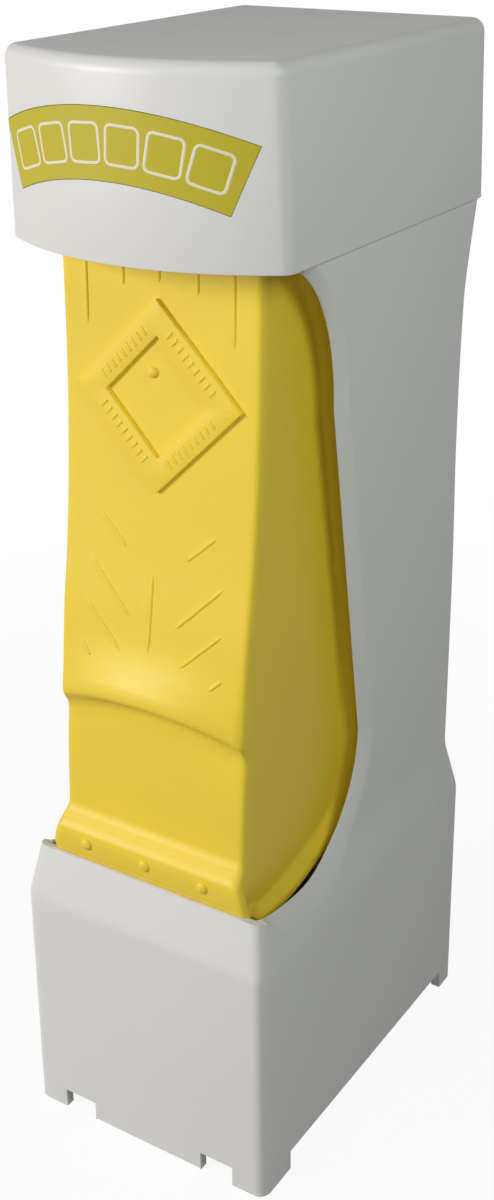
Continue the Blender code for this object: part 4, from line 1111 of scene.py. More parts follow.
def face_point(across, up):
    """The face at a share of its half-width and a share of its height."""
    hump = max(1 - across ** 2, 0.0)
    lean = smooth_at(LEANS, up) + smooth_at(SWELLS, up) * hump ** SWELL_CURVE
    bow = smooth_at(BOWS, up) * RIDGE_BOW * across ** 2
    bow += LIP_DROP * max(1 - up / LIP_SHARE, 0.0) ** 2
    return (across * SIDE_X, FACE_Y - FACE_DEPTH * lean, FACE_BOTTOM + FACE_HEIGHT * up - bow)


def on_face(x, height):
    """The face's depth at a place across it and a height."""
    across = x / SIDE_X
    up = (height - FACE_BOTTOM) / FACE_HEIGHT
    for _ in range(FACE_TRIES):
        found = face_point(across, up)
        up += (height - found[2]) / FACE_HEIGHT
    return face_point(across, up)[1]


print("face at the middle, mm:", round(on_face(0.0, 120 * MM) / MM, 2))

# %% Describe the crease of the side
CREASE_TOP = ((-29.0 * MM, 152.0 * MM), 19.5 * MM, 28.6 * MM)
CREASE_TOP_STEPS = 30
CREASE_TOP_ANGLE = 82
FLANGE_TOP = 181.0 * MM
CREASE_LINE_STEPS = 60
CREASE_BOW = 0.9 * MM
CREASE_LOW = (
    (0.6, 78.0), (0.1, 72.5), (-2.3, 68.4), (-7.0, 65.9), (-14.8, 63.4), (-21.0, 61.9),
    (-27.0, 61.2), (-31.5, 61.3), (-35.9, 62.4),
)
CREASE_LOW_STEPS = 7
FLANGE_WIDTHS = (
    (0.0, 3.3 * MM), (0.06, 3.7 * MM), (0.12, 3.7 * MM), (0.3, 3.8 * MM), (0.75, 4.2 * MM),
    (1.0, 4.2 * MM),
)
MERGE_SHARE = 0.02


def curve_through(points, steps):
    """A smooth curve through (y, z) places in millimetres."""
    spots = [Vector(point) * MM for point in points]
    spots = [spots[0] * 2 - spots[1]] + spots + [spots[-1] * 2 - spots[-2]]
    curve = []
    for index in range(1, len(spots) - 2):
        for step in range(steps):
            t = step / steps
            a, b, c, d = spots[index - 1:index + 3]
            curve.append(0.5 * (
                2 * b + (c - a) * t + (2 * a - 5 * b + 4 * c - d) * t ** 2
                + (3 * b - 3 * c + d - a) * t ** 3
            ))
    return [tuple(spot) for spot in curve + [spots[-2]]]


def crease_curve():
    """The crease that the flange springs from, from the top round to the lip."""
    curve = ellipse_arc(*CREASE_TOP, CREASE_TOP_ANGLE, 0, CREASE_TOP_STEPS)
    low = curve_through(CREASE_LOW, CREASE_LOW_STEPS)
    start, end = Vector(curve[-1]), Vector(low[0])
    for step in range(1, CREASE_LINE_STEPS):
        share = step / CREASE_LINE_STEPS
        point = start.lerp(end, share)
        curve.append((point.x + CREASE_BOW * 4 * share * (1 - share), point.y))
    return curve + low


def face_ups(crease):
    """A height on the face for each point of the crease, falling all the way."""
    top = (CREASE_TOP[0][1] - FACE_BOTTOM) / FACE_HEIGHT
    low = (CREASE_LOW[0][1] * MM - FACE_BOTTOM) / FACE_HEIGHT
    turn = CREASE_TOP_STEPS + CREASE_LINE_STEPS
    left = len(crease) - 1 - turn
    ups = []
    for index, (_, height) in enumerate(crease):
        if index <= CREASE_TOP_STEPS:
            ups.append(1 + (top - 1) * index / CREASE_TOP_STEPS)
        elif index <= turn:
            ups.append((height - FACE_BOTTOM) / FACE_HEIGHT)
        else:
            ups.append(low * (len(crease) - 1 - index) / left)
    return ups


crease = crease_curve()
ups = face_ups(crease)
print("crease:", len(crease), "points, from", round(ups[0], 2), "to", round(ups[-1], 2))

# %% Weave the lever's skin
ROW_SHARE = 0.0022
COARSE = 3.2
FINE_SPANS = ((0.0, 0.095), (0.265, 0.33))
LIP_FLARE = 0.9
LIP_FLARE_SHARE = 0.077
MERGE_CURVE = 1.5
MERGED_WIDTH = 0.15 * MM
FLANGE_SHARES = (1.0, 0.72, 0.45, 0.22, 0.07)
FLANGE_CURL = 1.25
CORNER_CURL = 3
SIDE_STEPS = 14
TURN_STEPS = 6
FACE_STEPS = 20
SKIN_SHARP = math.radians(80)
MIDDLE_BAND = 5 * MM


def skin_rows():
    """Rows of the skin as (height share, crease y, crease z), top to lip."""
    stops = [1.0]
    while stops[-1] > 0:
        fine = any(low <= stops[-1] - ROW_SHARE <= high for low, high in FINE_SPANS)
        step = ROW_SHARE if fine else COARSE * ROW_SHARE
        if stops[-1] <= MERGE_SHARE:
            step = ROW_SHARE / 2
        stops.append(max(stops[-1] - step, 0.0))
    rows = []
    rising = list(zip(reversed(ups), reversed(crease)))
    depths = [(up, y) for up, (y, _) in rising]
    heights = [(up, z) for up, (_, z) in rising]
    for up in stops:
        rows.append((up, stretch_at(depths, up), stretch_at(heights, up)))
    return rows


def half_row(row, out):
    """Half of a row, from the flange's edge round to the middle of the face."""
    up, y, z = row
    flare = 0.5 + 0.5 * math.cos(math.pi * min(up / LIP_FLARE_SHARE, 1.0))
    corner_x = SIDE_X + FLARE * flare * LIP_FLARE
    merge = max(1 - up / MERGE_SHARE, 0.0) ** MERGE_CURVE
    plate_x = SIDE_X + (corner_x - SIDE_X) * merge
    width = smooth_at(FLANGE_WIDTHS, up) * (1 - merge) + MERGED_WIDTH * merge
    if out.y > 0:
        width = min(width, (FLANGE_TOP - z) / out.y)
    points = []
    for share in FLANGE_SHARES:
        wide = plate_x + (SIDE_X + FLARE - plate_x) * share ** FLANGE_CURL
        points.append((wide, y + out.x * width * share, z + out.y * width * share))
    edge = face_point(1.0, up)
    start = Vector((y, z))
    end = Vector((edge[1] + FACE_CORNER, edge[2]))
    for step in range(SIDE_STEPS + 1):
        share = step / SIDE_STEPS
        spot = start.lerp(end, share)
        wide = plate_x + (corner_x - plate_x) * share ** CORNER_CURL
        points.append((wide, spot.x, spot.y))
    for step in range(1, TURN_STEPS):
        angle = math.radians(90 * step / TURN_STEPS)
        x = corner_x - FACE_CORNER * (1 - math.cos(angle))
        depth = edge[1] + FACE_CORNER * (1 - math.sin(angle))
        points.append((x, depth, edge[2]))
    inner = (corner_x - FACE_CORNER) / SIDE_X
    for step in range(FACE_STEPS + 1):
        across = inner * (1 - step / FACE_STEPS)
        flat = face_point(across * SIDE_X / corner_x, up)
        points.append((across * SIDE_X, flat[1], flat[2]))
    return points


def lever_skin():
    rows = skin_rows()
    grid = []
    for index, row in enumerate(rows):
        before = Vector(rows[max(index - 1, 0)][1:])
        after = Vector(rows[min(index + 1, len(rows) - 1)][1:])
        along = (after - before).normalized()
        half = half_row(row, Vector((-along.y, along.x)))
        grid.append([(-x, y, z) for x, y, z in half] + half[-2::-1])
    count = len(grid[0])
    faces = []
    for row in range(len(grid) - 1):
        for column in range(count - 1):
            corner = row * count + column
            faces.append((corner, corner + count, corner + count + 1, corner + 1))
    points = [point for row in grid for point in row]
    return piece("lever_skin", points, faces, YELLOW)


lever = lever_skin()
lever.data.set_sharp_from_angle(angle=SKIN_SHARP)
outward = sum(
    face.normal.y for face in lever.data.polygons if abs(face.center.x) < MIDDLE_BAND
)
if outward > 0:
    lever.data.flip_normals()
wall = lever.modifiers.new("wall", "SOLIDIFY")
wall.thickness = LEVER_WALL
wall.offset = -1
plain(lever)
finish(lever, "lever", "yellow_plastic", "lever")

# %% [markdown]
# ## Ears, barrels, lugs and the spring's seat
#
# Inside, the lever carries two ears with round barrels for its pin, two lugs
# that push the cutter and a round seat for the spring. They are plain shapes
# with softened edges, and each is rooted in the skin's wall.

# %% Make the lever's inner fittings
EAR_Y = (-25.6 * MM, -20.0 * MM)
EAR_Z = 166.1 * MM
EAR_X = (18.1 * MM, 19.8 * MM)
BARREL_RADIUS = 4.0 * MM
BARREL_X = (17.95 * MM, 22.3 * MM)
LUG_Y = (-35.0 * MM, -31.0 * MM)
LUG_Z = (45.6 * MM, 66.0 * MM)
SEAT_Z = 140.0 * MM
SEAT_RADIUS = 3.0 * MM
SEAT_LENGTH = 2.5 * MM
EAR_GAP = 0.1 * MM
EAR_SOFT = 0.2 * MM
LUG_SOFT = 0.4 * MM


def lever_fittings():
    made = []
    for side in (-1, 1):
        ear = [
            (EAR_Y[0], EAR_Z), (EAR_Y[1], EAR_Z), (EAR_Y[1], PIN[1]),
            (EAR_Y[0] + LEVER_WALL, PIN[1]), (EAR_Y[0], FACE_TOP - EAR_GAP),
        ]
        body = slab("ear", ear, side * EAR_X[0], side * EAR_X[1], YELLOW)
        ends = [(side * x, *PIN) for x in BARREL_X]
        combine(body, "UNION", [rod("barrel", BARREL_RADIUS, *ends, YELLOW)])
        bore = [(side * x, *PIN) for x in (0.0, FOOT_HALF)]
        combine(body, "DIFFERENCE", [rod("bore", PIN_HOLE, *bore, YELLOW)])
        made.append(soften(body, EAR_SOFT))
        lug = [
            (LUG_Y[0], LUG_Z[0]), (LUG_Y[1], LUG_Z[0]),
            (LUG_Y[1], LUG_Z[1]), (LUG_Y[0], LUG_Z[1]),
        ]
        made.append(soften(slab("lug", lug, side * EAR_X[0], side * EAR_X[1], YELLOW), LUG_SOFT))
    back = on_face(0.0, SEAT_Z) + LEVER_WALL
    ends = ((0, back - LEVER_WALL / 2, SEAT_Z), (0, back + SEAT_LENGTH, SEAT_Z))
    made.append(soften(rod("seat", SEAT_RADIUS, *ends, YELLOW), LUG_SOFT))
    return join("lever_fittings", made)


finish(lever_fittings(), "lever", "yellow_plastic", "lever")

# %% [markdown]
# ## The raised diamond
#
# A square frame stands on its corner on the upper face. It follows the face, so
# its four sides are lofted through many sections, each of which stands on the
# face where that section is. The section has rounded top edges, which is what
# catches the light in a moulding this shallow.

# %% Loft the diamond
DIAMOND_Z = 154.5 * MM
DIAMOND_OUTER = 16.75 * MM
DIAMOND_INNER = 10.55 * MM
DIAMOND_HEIGHT = 0.8 * MM
DIAMOND_ROUND = 0.3 * MM
DIAMOND_STEPS = 16
DIAMOND_ROOT = -0.5 * MM
DIAMOND_ROUND_STEPS = 4


def diamond_sections():
    """(half size, height above the face) round the frame's section."""
    section = [(DIAMOND_OUTER, DIAMOND_ROOT)]
    for outer, sign in ((DIAMOND_OUTER, 1), (DIAMOND_INNER, -1)):
        steps = list(range(DIAMOND_ROUND_STEPS + 1))[::sign]
        for step in steps:
            angle = math.radians(90 * step / DIAMOND_ROUND_STEPS)
            size = outer - sign * DIAMOND_ROUND * (1 - math.cos(angle))
            section.append((size, DIAMOND_HEIGHT - DIAMOND_ROUND * (1 - math.sin(angle))))
    section.append((DIAMOND_INNER, DIAMOND_ROOT))
    return section


def diamond_frame():
    corners = ((0, 1), (1, 0), (0, -1), (-1, 0))
    rings = []
    for side in range(4):
        (x1, z1), (x2, z2) = corners[side], corners[(side + 1) % 4]
        for step in range(DIAMOND_STEPS):
            share = step / DIAMOND_STEPS
            x, z = x1 + (x2 - x1) * share, z1 + (z2 - z1) * share
            ring = []
            for size, stand in diamond_sections():
                height = DIAMOND_Z + z * size
                ring.append((x * size, on_face(x * size, height) - stand, height))
            rings.append(ring)
    return loft("lever_diamond", rings, YELLOW, looped=True)


finish(diamond_frame(), "lever", "yellow_plastic", "lever")

# %% [markdown]
# ## Ribs, bumps and ticks
#
# Thin ribs run down from the top of the face and fan out below the diamond, so
# that a thumb feels where it is. A rib is a circle swept along a line on the
# face, and its radius shrinks to nothing at both ends. Three round bumps sit on
# the lip, one small dome inside the diamond, and short ticks on its border.

# %% Sweep the ribs
RIB_RADIUS = 0.48 * MM
RIB_SINK = 0.24 * MM
RIB_STEPS = 18
RIB_TOP = 180.0
RIB_TIP = 0.02
RIB_SIDES = 12
TOP_RIBS = ((-14.8, 164.1), (-7.1, 172.1), (0.2, 173.6), (7.8, 172.3), (14.8, 164.1))
FAN_RIBS = (
    ((12.5, 132.4), (6.0, 126.5)), ((14.7, 124.0), (4.3, 113.7)),
    ((15.0, 115.7), (6.0, 107.1)), ((15.3, 107.4), (12.8, 105.0)),
)
MIDDLE_RIB = ((-0.5, 124.0), (-0.5, 107.8))


def rib_line(start, end):
    """Points on the face between two (x, z) places in millimetres."""
    points = []
    for step in range(RIB_STEPS + 1):
        x, z = Vector(start).lerp(Vector(end), step / RIB_STEPS) * MM
        points.append((x, on_face(x, z) + RIB_SINK, z))
    return points


def rib_lines():
    made = [rib_line((x, RIB_TOP), (x, z)) for x, z in TOP_RIBS]
    made.append(rib_line(*MIDDLE_RIB))
    for start, end in FAN_RIBS:
        for side in (-1, 1):
            made.append(rib_line((side * start[0], start[1]), (side * end[0], end[1])))
    return made


rib_tree = Tree("tapered_ribs", {"Rib Radius": RIB_RADIUS, "Taper": 7.0, "Fullness": 0.6})
along = rib_tree.tree.nodes.new("GeometryNodeSplineParameter").outputs["Factor"]
left = rib_tree.math("SUBTRACT", 1.0, along)
nearer = rib_tree.math("MINIMUM", along, left)
grown = rib_tree.math("MULTIPLY", nearer, rib_tree.size("Taper"))
swell = rib_tree.math("POWER", rib_tree.math("MINIMUM", grown, 1.0), rib_tree.size("Fullness"))
scale = rib_tree.math("ADD", swell, RIB_TIP)
path = rib_tree.add("GeometryNodeMeshToCurve", {0: rib_tree.size("Geometry")})
circle = rib_tree.add("GeometryNodeCurvePrimitiveCircle", {
    "Resolution": RIB_SIDES, "Radius": rib_tree.size("Rib Radius"),
})
swept = rib_tree.add("GeometryNodeCurveToMesh", {0: path, 1: circle, "Scale": scale, 3: True})
rib_tree.close(swept)
ribs = rib_tree.grow("lever_ribs", lines("ribs", rib_lines()), YELLOW)
finish(ribs, "lever", "yellow_plastic", "lever")

# %% Set the bumps
BUMPS = ((-13.5, 66.0), (0.0, 66.0), (13.0, 66.0))
BUMP_RADIUS = 1.2 * MM
BUMP_HEIGHT = 0.55
DOME = ((-1.3, 158.6),)
DOME_RADIUS = 1.05 * MM
DOME_HEIGHT = 0.75


def dots(name, places, radius, height):
    """Flattened balls on the face, one for each (x, z) place in millimetres."""
    tree = Tree(name, {"Radius": radius, "Height Share": height})
    ball = tree.add("GeometryNodeMeshUVSphere", {
        "Segments": 24, "Rings": 16, "Radius": tree.size("Radius"),
    })
    squash = tree.add("ShaderNodeCombineXYZ", {0: 1.0, 1: tree.size("Height Share"), 2: 1.0})
    balls = tree.add("GeometryNodeInstanceOnPoints", {
        "Points": tree.size("Geometry"), "Instance": ball, "Scale": squash,
    })
    tree.close(balls)
    spots = [[(x * MM, on_face(x * MM, z * MM), z * MM)] for x, z in places]
    made = tree.grow(name, lines(name, spots), YELLOW)
    return finish(made, "lever", "yellow_plastic", "lever")


dots("lever_bumps", BUMPS, BUMP_RADIUS, BUMP_HEIGHT)
dots("lever_dome", DOME, DOME_RADIUS, DOME_HEIGHT)

# %% Set the ticks on the diamond's border
TICK_SPAN = 0.62
TICKS = 9
TICK_SIZE = (0.5 * MM, 0.33 * MM, 1.7 * MM)
TICK_SOFT = 0.12 * MM


def tick_places():
    """Points along the four sides of the border, and each tick's turn."""
    spots, turns = [], []
    middle = (DIAMOND_OUTER + DIAMOND_INNER) / 2
    corners = ((0, 1), (1, 0), (0, -1), (-1, 0))
    for side in range(4):
        start = Vector(corners[side]) * middle
        end = Vector(corners[(side + 1) % 4]) * middle
        for step in range(TICKS):
            share = 0.5 + TICK_SPAN * (step / (TICKS - 1) - 0.5)
            x, z = start.lerp(end, share)
            height = DIAMOND_Z + z
            spots.append([(x, on_face(x, height) - DIAMOND_HEIGHT, height)])
            turns.append(math.radians(45 if side % 2 == 0 else -45))
    return spots, turns


tick_tree = Tree("border_ticks", {
    "Tick Width": TICK_SIZE[0], "Tick Height": TICK_SIZE[1], "Tick Length": TICK_SIZE[2],
})
tick_box = tick_tree.add("ShaderNodeCombineXYZ", {
    0: tick_tree.size("Tick Width"), 1: tick_tree.size("Tick Height"),
    2: tick_tree.size("Tick Length"),
})
tick = tick_tree.add("GeometryNodeMeshCube", {"Size": tick_box})
turn = tick_tree.add("GeometryNodeInputNamedAttribute", {"Name": "turn"})
euler = tick_tree.add("ShaderNodeCombineXYZ", {1: turn})
spin = tick_tree.add("FunctionNodeEulerToRotation", {0: euler})
tick_tree.close(tick_tree.add("GeometryNodeInstanceOnPoints", {
    "Points": tick_tree.size("Geometry"), "Instance": tick, "Rotation": spin,
}))
spots, turns = tick_places()
ticks = tick_tree.grow("lever_ticks", lines("ticks", spots, turn=turns), YELLOW)
soften(ticks, TICK_SOFT)
finish(ticks, "lever", "yellow_plastic", "lever")

# %% [markdown]
# ## The white lid
#
# The lid is a hollow cap with flat sides, a front that bows out as part of a
# circle, soft vertical corners and a generous round along its top edge. It is
# lofted like the housing: down the hollow, round the lower edge, up the outside
# and over the top edge in small steps. A thin visor closes its lower front, in
# front of the lever.

# %% Describe the lid's outline
LID_BOTTOM = 179.03 * MM
LID_TOP = 210.0 * MM
LID_HALF = 27.3 * MM
LID_TAPER = 1.1 * MM
LID_WALL = 2.0 * MM
LID_CORNER_Y = -30.5 * MM
LID_BULGE = 8.5 * MM
LID_BACK = 38.5 * MM
LID_FRONT_ROUND = 2.8 * MM
LID_BACK_ROUND = 3.0 * MM
LID_EDGE = 2.2 * MM
LID_FOOT_ROUND = 0.15 * MM
LID_THINNEST = 0.2 * MM
LID_TURN_SHARE = 0.6
LID_STEPS = 8
LID_FRONT_STEPS = 20
LID_FOOT_STEPS = 3
LID_EDGE_STEPS = 10
LID_RADIUS = (LID_HALF ** 2 + LID_BULGE ** 2) / (2 * LID_BULGE)


def lid_front(x):
    """Where the lid's front lies across its width."""
    return LID_CORNER_Y - LID_BULGE + LID_RADIUS - math.sqrt(LID_RADIUS ** 2 - x ** 2)


def lid_ring(height, inset):
    """A level ring of the lid, drawn in by an inset."""
    share = (height - LID_BOTTOM) / (LID_TOP - LID_BOTTOM)
    half = LID_HALF - LID_TAPER * share - inset
    corner = max(LID_FRONT_ROUND - inset, LID_THINNEST)
    slope = math.asin((half - corner * LID_TURN_SHARE) / LID_RADIUS)
    span = half - corner * (1 - math.sin(slope))
    middle_y = lid_front(span) + inset + corner * math.cos(slope)
    ring = []
    back = max(LID_BACK_ROUND - inset, LID_THINNEST)
    for step in range(LID_STEPS + 1):
        angle = math.radians(90 * (1 - step / LID_STEPS))
        ring.append((
            half - back + back * math.cos(angle), LID_BACK - inset - back + back * math.sin(angle),
        ))
    for step in range(LID_STEPS + 1):
        angle = (slope - math.pi / 2) * step / LID_STEPS
        ring.append((half - corner + corner * math.cos(angle), middle_y + corner * math.sin(angle)))
    for step in range(1, LID_FRONT_STEPS):
        x = span * (1 - step / LID_FRONT_STEPS)
        ring.append((x, lid_front(x) + inset))
    left = [(-x, y) for x, y in ring]
    ring.append((0.0, lid_front(0.0) + inset))
    ring += left[::-1]
    return [(x, y, height) for x, y in ring]


def lid_shell():
    """The hollow down, the lower edge, the outside up and the top edge."""
    ceiling = LID_TOP - LID_WALL
    small = LID_FOOT_ROUND
    rings = [lid_ring(ceiling, LID_WALL), lid_ring(LID_BOTTOM, LID_WALL)]
    for step in range(LID_FOOT_STEPS + 1):
        angle = math.radians(90 * step / LID_FOOT_STEPS)
        rings.append(lid_ring(
            LID_BOTTOM + small * (1 - math.cos(angle)), small * (1 - math.sin(angle)),
        ))
    rings.append(lid_ring((LID_BOTTOM + LID_TOP) / 2, 0))
    for step in range(LID_EDGE_STEPS + 1):
        angle = math.radians(90 * step / LID_EDGE_STEPS)
        inset = LID_EDGE * (1 - math.cos(angle))
        rings.append(lid_ring(LID_TOP - LID_EDGE * (1 - math.sin(angle)), inset))
    return loft("lid_shell", rings, WHITE)


lid = lid_shell()
print("lid's front radius, mm:", round(LID_RADIUS / MM, 2))

# %% Cut the badge's pocket and add the visor and the hinge
BADGE_RADIUS = 66.0 * MM
BADGE_WIDTH = 11.0 * MM
BADGE_CENTRE = 136.9 * MM
BADGE_SHIFT = -1.2 * MM
BADGE_SPREAD = math.radians(21.9)
BADGE_DEPTH = 0.6 * MM
BADGE_GAP = 0.12 * MM
VISOR_Z = (179.1 * MM, 180.8 * MM)
VISOR_BACK = -29.5 * MM
BADGE_STEPS = 20
BADGE_ROWS = 8


def badge_plate(name, spare, outer, inner, material):
    """An arc-shaped plate that follows the lid's front between two depths."""
    rings = []
    low = BADGE_RADIUS - BADGE_WIDTH - spare
    high = BADGE_RADIUS + spare
    rows = list(range(BADGE_ROWS + 1))
    for step in range(2 * BADGE_STEPS + 1):
        angle = (BADGE_SPREAD + spare / BADGE_RADIUS) * (step / BADGE_STEPS - 1)
        ring = []
        for depth, order in ((outer, rows), (inner, rows[::-1])):
            for across in order:
                radius = high + (low - high) * across / BADGE_ROWS
                x = BADGE_SHIFT + radius * math.sin(angle)
                z = BADGE_CENTRE + radius * math.cos(angle)
                ring.append((x, lid_front(x) + depth, z))
        rings.append(ring)
    return loft(name, rings, material)


def visor():
    """A thin floor behind the lid's lower front."""
    body = loft("visor", [lid_ring(height, LID_WALL / 2) for height in VISOR_Z], WHITE)
    low = (-LID_HALF, VISOR_BACK, LID_BOTTOM - OVERRUN)
    return combine(body, "DIFFERENCE", [block("cut", low, (LID_HALF, LID_BACK, LID_TOP))])


combine(lid, "UNION", [visor(), *knuckles(LID_KNUCKLES, KNUCKLE_RADIUS)])
lid_cuts = knuckles(HOUSING_KNUCKLES, KNUCKLE_RADIUS + KNUCKLE_GAP, KNUCKLE_GAP)
lid_cuts.append(axle("hole", HINGE_HOLE, HINGE, 3 * KNUCKLE_PITCH))
lid_cuts.append(badge_plate("pocket", BADGE_GAP, -OVERRUN, BADGE_DEPTH + BADGE_GAP, WHITE))
combine(lid, "DIFFERENCE", lid_cuts)
lid.data.shade_smooth()
lid.data.set_sharp_from_angle(angle=SHARP)
finish(lid, "lid", "white_plastic", "lid")

# %% [markdown]
# ## The badge
#
# A yellow-green arc is let into the front of the lid. It carries a row of plain
# outlined squares, like pats of butter cut from a stick. One square is drawn
# flat, copied along the arc by Geometry Nodes, and then every point is laid on
# the lid's bowed front by the formula of its circle.

# %% Make the badge and its pats
PAT_COUNT = 6
PAT_SIZE = 5.9 * MM
PAT_LINE = 0.55 * MM
PAT_RELIEF = 0.05 * MM
PAT_REACH = 0.78
PAT_CORNER = 0.9 * MM
PAT_CORNER_POINTS = 5
PAT_POINTS = 72
PAT_SIDES = 8

badge = badge_plate("badge", 0.0, 0.0, BADGE_DEPTH, PRINT)
finish(badge, "lid", "badge_print", "lid_badge")

pat_tree = Tree("outlined_pats", {
    "Pat Size": PAT_SIZE, "Line Width": PAT_LINE, "Relief": PAT_RELIEF,
    "Corner": PAT_CORNER, "Front Radius": LID_RADIUS,
    "Front Centre": LID_CORNER_Y - LID_BULGE + LID_RADIUS,
})
square = pat_tree.add("GeometryNodeCurvePrimitiveQuadrilateral", {
    "Width": pat_tree.size("Pat Size"), "Height": pat_tree.size("Pat Size"),
})
soft_square = pat_tree.add(
    "GeometryNodeFilletCurve",
    {0: square, "Count": PAT_CORNER_POINTS, "Radius": pat_tree.size("Corner")},
    mode="POLY",
)
many = pat_tree.add("GeometryNodeResampleCurve", {0: soft_square, "Count": PAT_POINTS})
upright = pat_tree.add("GeometryNodeTransform", {0: many, "Rotation": (math.pi / 2, 0, 0)})
stroke = pat_tree.add("GeometryNodeCurvePrimitiveCircle", {
    "Resolution": PAT_SIDES, "Radius": pat_tree.math("MULTIPLY", pat_tree.size("Line Width"), 0.5),
})
outline = pat_tree.add("GeometryNodeCurveToMesh", {0: upright, 1: stroke, 3: False})
turn = pat_tree.add("GeometryNodeInputNamedAttribute", {"Name": "turn"})
euler = pat_tree.add("ShaderNodeCombineXYZ", {1: turn})
spin = pat_tree.add("FunctionNodeEulerToRotation", {0: euler})
pats = pat_tree.add("GeometryNodeInstanceOnPoints", {
    "Points": pat_tree.size("Geometry"), "Instance": outline, "Rotation": spin,
})
real = pat_tree.add("GeometryNodeRealizeInstances", {0: pats})
spot = pat_tree.tree.nodes.new("GeometryNodeInputPosition").outputs[0]
split = pat_tree.tree.nodes.new("ShaderNodeSeparateXYZ")
pat_tree.tree.links.new(spot, split.inputs[0])
squared = pat_tree.math("POWER", pat_tree.math("ABSOLUTE", split.outputs[0]), 2.0)
radius_squared = pat_tree.math("POWER", pat_tree.size("Front Radius"), 2.0)
root = pat_tree.math("SQRT", pat_tree.math("SUBTRACT", radius_squared, squared))
front = pat_tree.math("SUBTRACT", pat_tree.size("Front Centre"), root)
flat = pat_tree.math("MULTIPLY", split.outputs[1], pat_tree.math(
    "DIVIDE", pat_tree.size("Relief"), pat_tree.math("MULTIPLY", pat_tree.size("Line Width"), 0.5),
))
laid = pat_tree.add("ShaderNodeCombineXYZ", {
    0: split.outputs[0], 1: pat_tree.math("ADD", front, flat), 2: split.outputs[2],
})
pat_tree.close(pat_tree.add("GeometryNodeSetPosition", {0: real, "Position": laid}))


def pat_places():
    """A point and a turn for each pat along the badge's middle line."""
    spots, turns = [], []
    radius = BADGE_RADIUS - BADGE_WIDTH / 2
    for step in range(PAT_COUNT):
        angle = BADGE_SPREAD * PAT_REACH * (2 * step / (PAT_COUNT - 1) - 1)
        x = BADGE_SHIFT + radius * math.sin(angle)
        spots.append([(x, 0.0, BADGE_CENTRE + radius * math.cos(angle))])
        turns.append(angle)
    return spots, turns


spots, turns = pat_places()
pats = pat_tree.grow("badge_pats", lines("pats", spots, turn=turns), PATS)
finish(pats, "lid", "badge_print", "lid_badge")

# %% [markdown]
# ## The pieces inside
#
# The chute, the cutter's frame, the rails and the stop are already the right
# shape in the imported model. Their edges are too crisp for moulded plastic, so a
# copy of each is made: its loose triangles are merged, flat areas are joined
# into single faces, and its edges are rounded.

# %% Round the inner plastics
MERGE_DISTANCE = 0.001 * MM
FLAT_ANGLE = math.radians(1)
INNER_SOFT = 0.25 * MM
INNER_TURN = 40


def dressed(name, body_name):
    """A softened copy of a CAD node that stands in for it."""
    mesh = frame["nodes"][name].data.copy()
    shape = bmesh.new()
    shape.from_mesh(mesh)
    bmesh.ops.remove_doubles(shape, verts=shape.verts, dist=MERGE_DISTANCE)
    bmesh.ops.dissolve_limit(
        shape, angle_limit=FLAT_ANGLE, verts=shape.verts, edges=shape.edges,
    )
    shape.to_mesh(mesh)
    shape.free()
    mesh.materials.clear()
    mesh.materials.append(INNER)
    body = bpy.data.objects.new(name + "_dressed", mesh)
    scene.collection.objects.link(body)
    soften(body, INNER_SOFT, 2, INNER_TURN)
    return finish(body, body_name, "inner_plastic", name)


dressed("butter_chute", "base")
dressed("cutter_frame", "cutter")
for word in ("left", "right"):
    dressed(f"guide_rail_{word}", "base")
dressed("pat_stop", "base")

# %% Finish the steel pieces
BY_STEEL = {
    "shutter_plate": SHEET, "lever_pin": STEEL, "lid_hinge_pin": STEEL,
    "cutting_wire": STEEL,
}
for name, item in frame["nodes"].items():
    if "screw" in name or "washer" in name:
        BY_STEEL[name] = TURNED
    if name in BY_STEEL:
        item.data.materials.clear()
        item.data.materials.append(BY_STEEL[name])
print("steel pieces:", len(BY_STEEL))
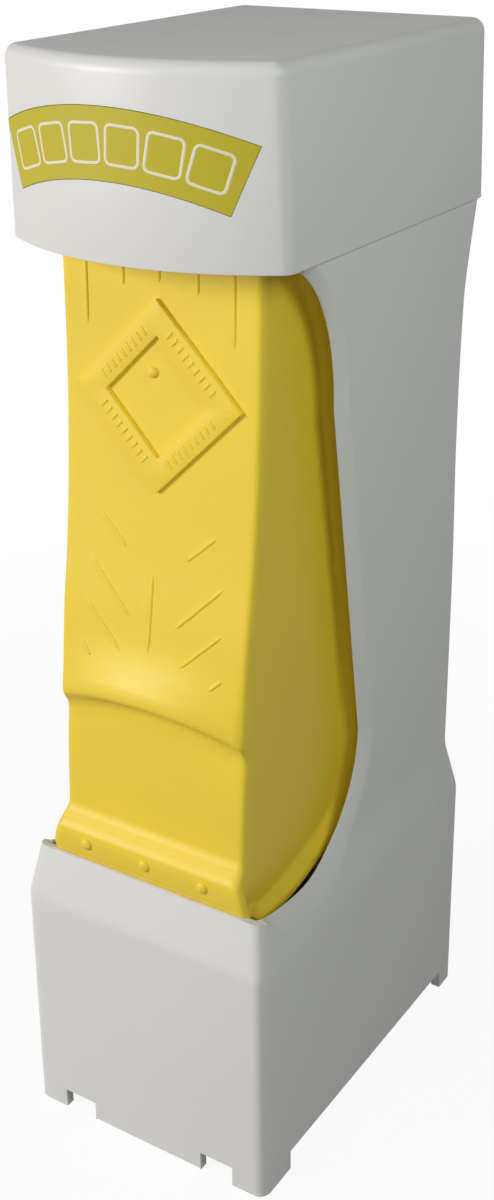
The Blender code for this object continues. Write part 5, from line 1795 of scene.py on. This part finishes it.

# %% [markdown]
# ## The return spring
#
# A coil of bright wire pushes the lever out again. Blender has a spiral curve of
# its own, so the coil is that spiral swept with a round wire in Geometry Nodes.
# A rigid coil would come out through the lever's face when the lever is pressed.
# This coil is rigid, though: it rides on the base and does not flatten.

# %% Wind the spring
SPRING_WIRE = 0.5 * MM
SPRING_TURNS = 7.0
TURN_POINTS = 40
WIRE_SIDES = 14
spring_low, spring_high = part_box("return_spring")
spring_x = (spring_low[0] + spring_high[0]) / 2
spring_z = (spring_low[2] + spring_high[2]) / 2
coil_tree = Tree("wound_coil", {
    "Wire Radius": SPRING_WIRE, "Turns": SPRING_TURNS,
    "Coil Radius": (spring_high[0] - spring_low[0]) / 2 - SPRING_WIRE,
    "Coil Length": spring_high[1] - spring_low[1] - 2 * SPRING_WIRE,
})
spiral = coil_tree.add("GeometryNodeCurveSpiral", {
    "Resolution": TURN_POINTS, "Rotations": coil_tree.size("Turns"),
    "Start Radius": coil_tree.size("Coil Radius"), "End Radius": coil_tree.size("Coil Radius"),
    "Height": coil_tree.size("Coil Length"),
})
wire_round = coil_tree.add("GeometryNodeCurvePrimitiveCircle", {
    "Resolution": WIRE_SIDES, "Radius": coil_tree.size("Wire Radius"),
})
wound = coil_tree.add("GeometryNodeCurveToMesh", {0: spiral, 1: wire_round, 3: True})
lying = coil_tree.add("GeometryNodeInstanceOnPoints", {
    "Points": coil_tree.size("Geometry"), "Instance": wound,
    "Rotation": (-math.pi / 2, 0.0, 0.0),
})
coil_tree.close(lying)
seat = lines("coil", [[(spring_x, spring_low[1] + SPRING_WIRE, spring_z)]])
coil = coil_tree.grow("return_coil", seat, STEEL)
finish(coil, "base", "steel", "return_spring")
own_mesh(coil)

# %% [markdown]
# ## Print the sizes and finish
#
# Any imported piece that is still without a material is named, and then the sizes of the imported
# model's box and of the dressed model's box are printed. The dressed model has to stay inside the
# imported model's box.

# %% Write the two boxes and finish
for item in bpy.data.objects:
    if item.get("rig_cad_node") and not item.data.materials:
        print("no material yet:", item.name)
sizes = {
    "cad": [list(corner) for corner in cad_box],
    "visual": [list(corner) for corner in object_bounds()],
}
for label, (low, high) in sizes.items():
    print(label, [round((b - a) / MM, 2) for a, b in zip(low, high)])
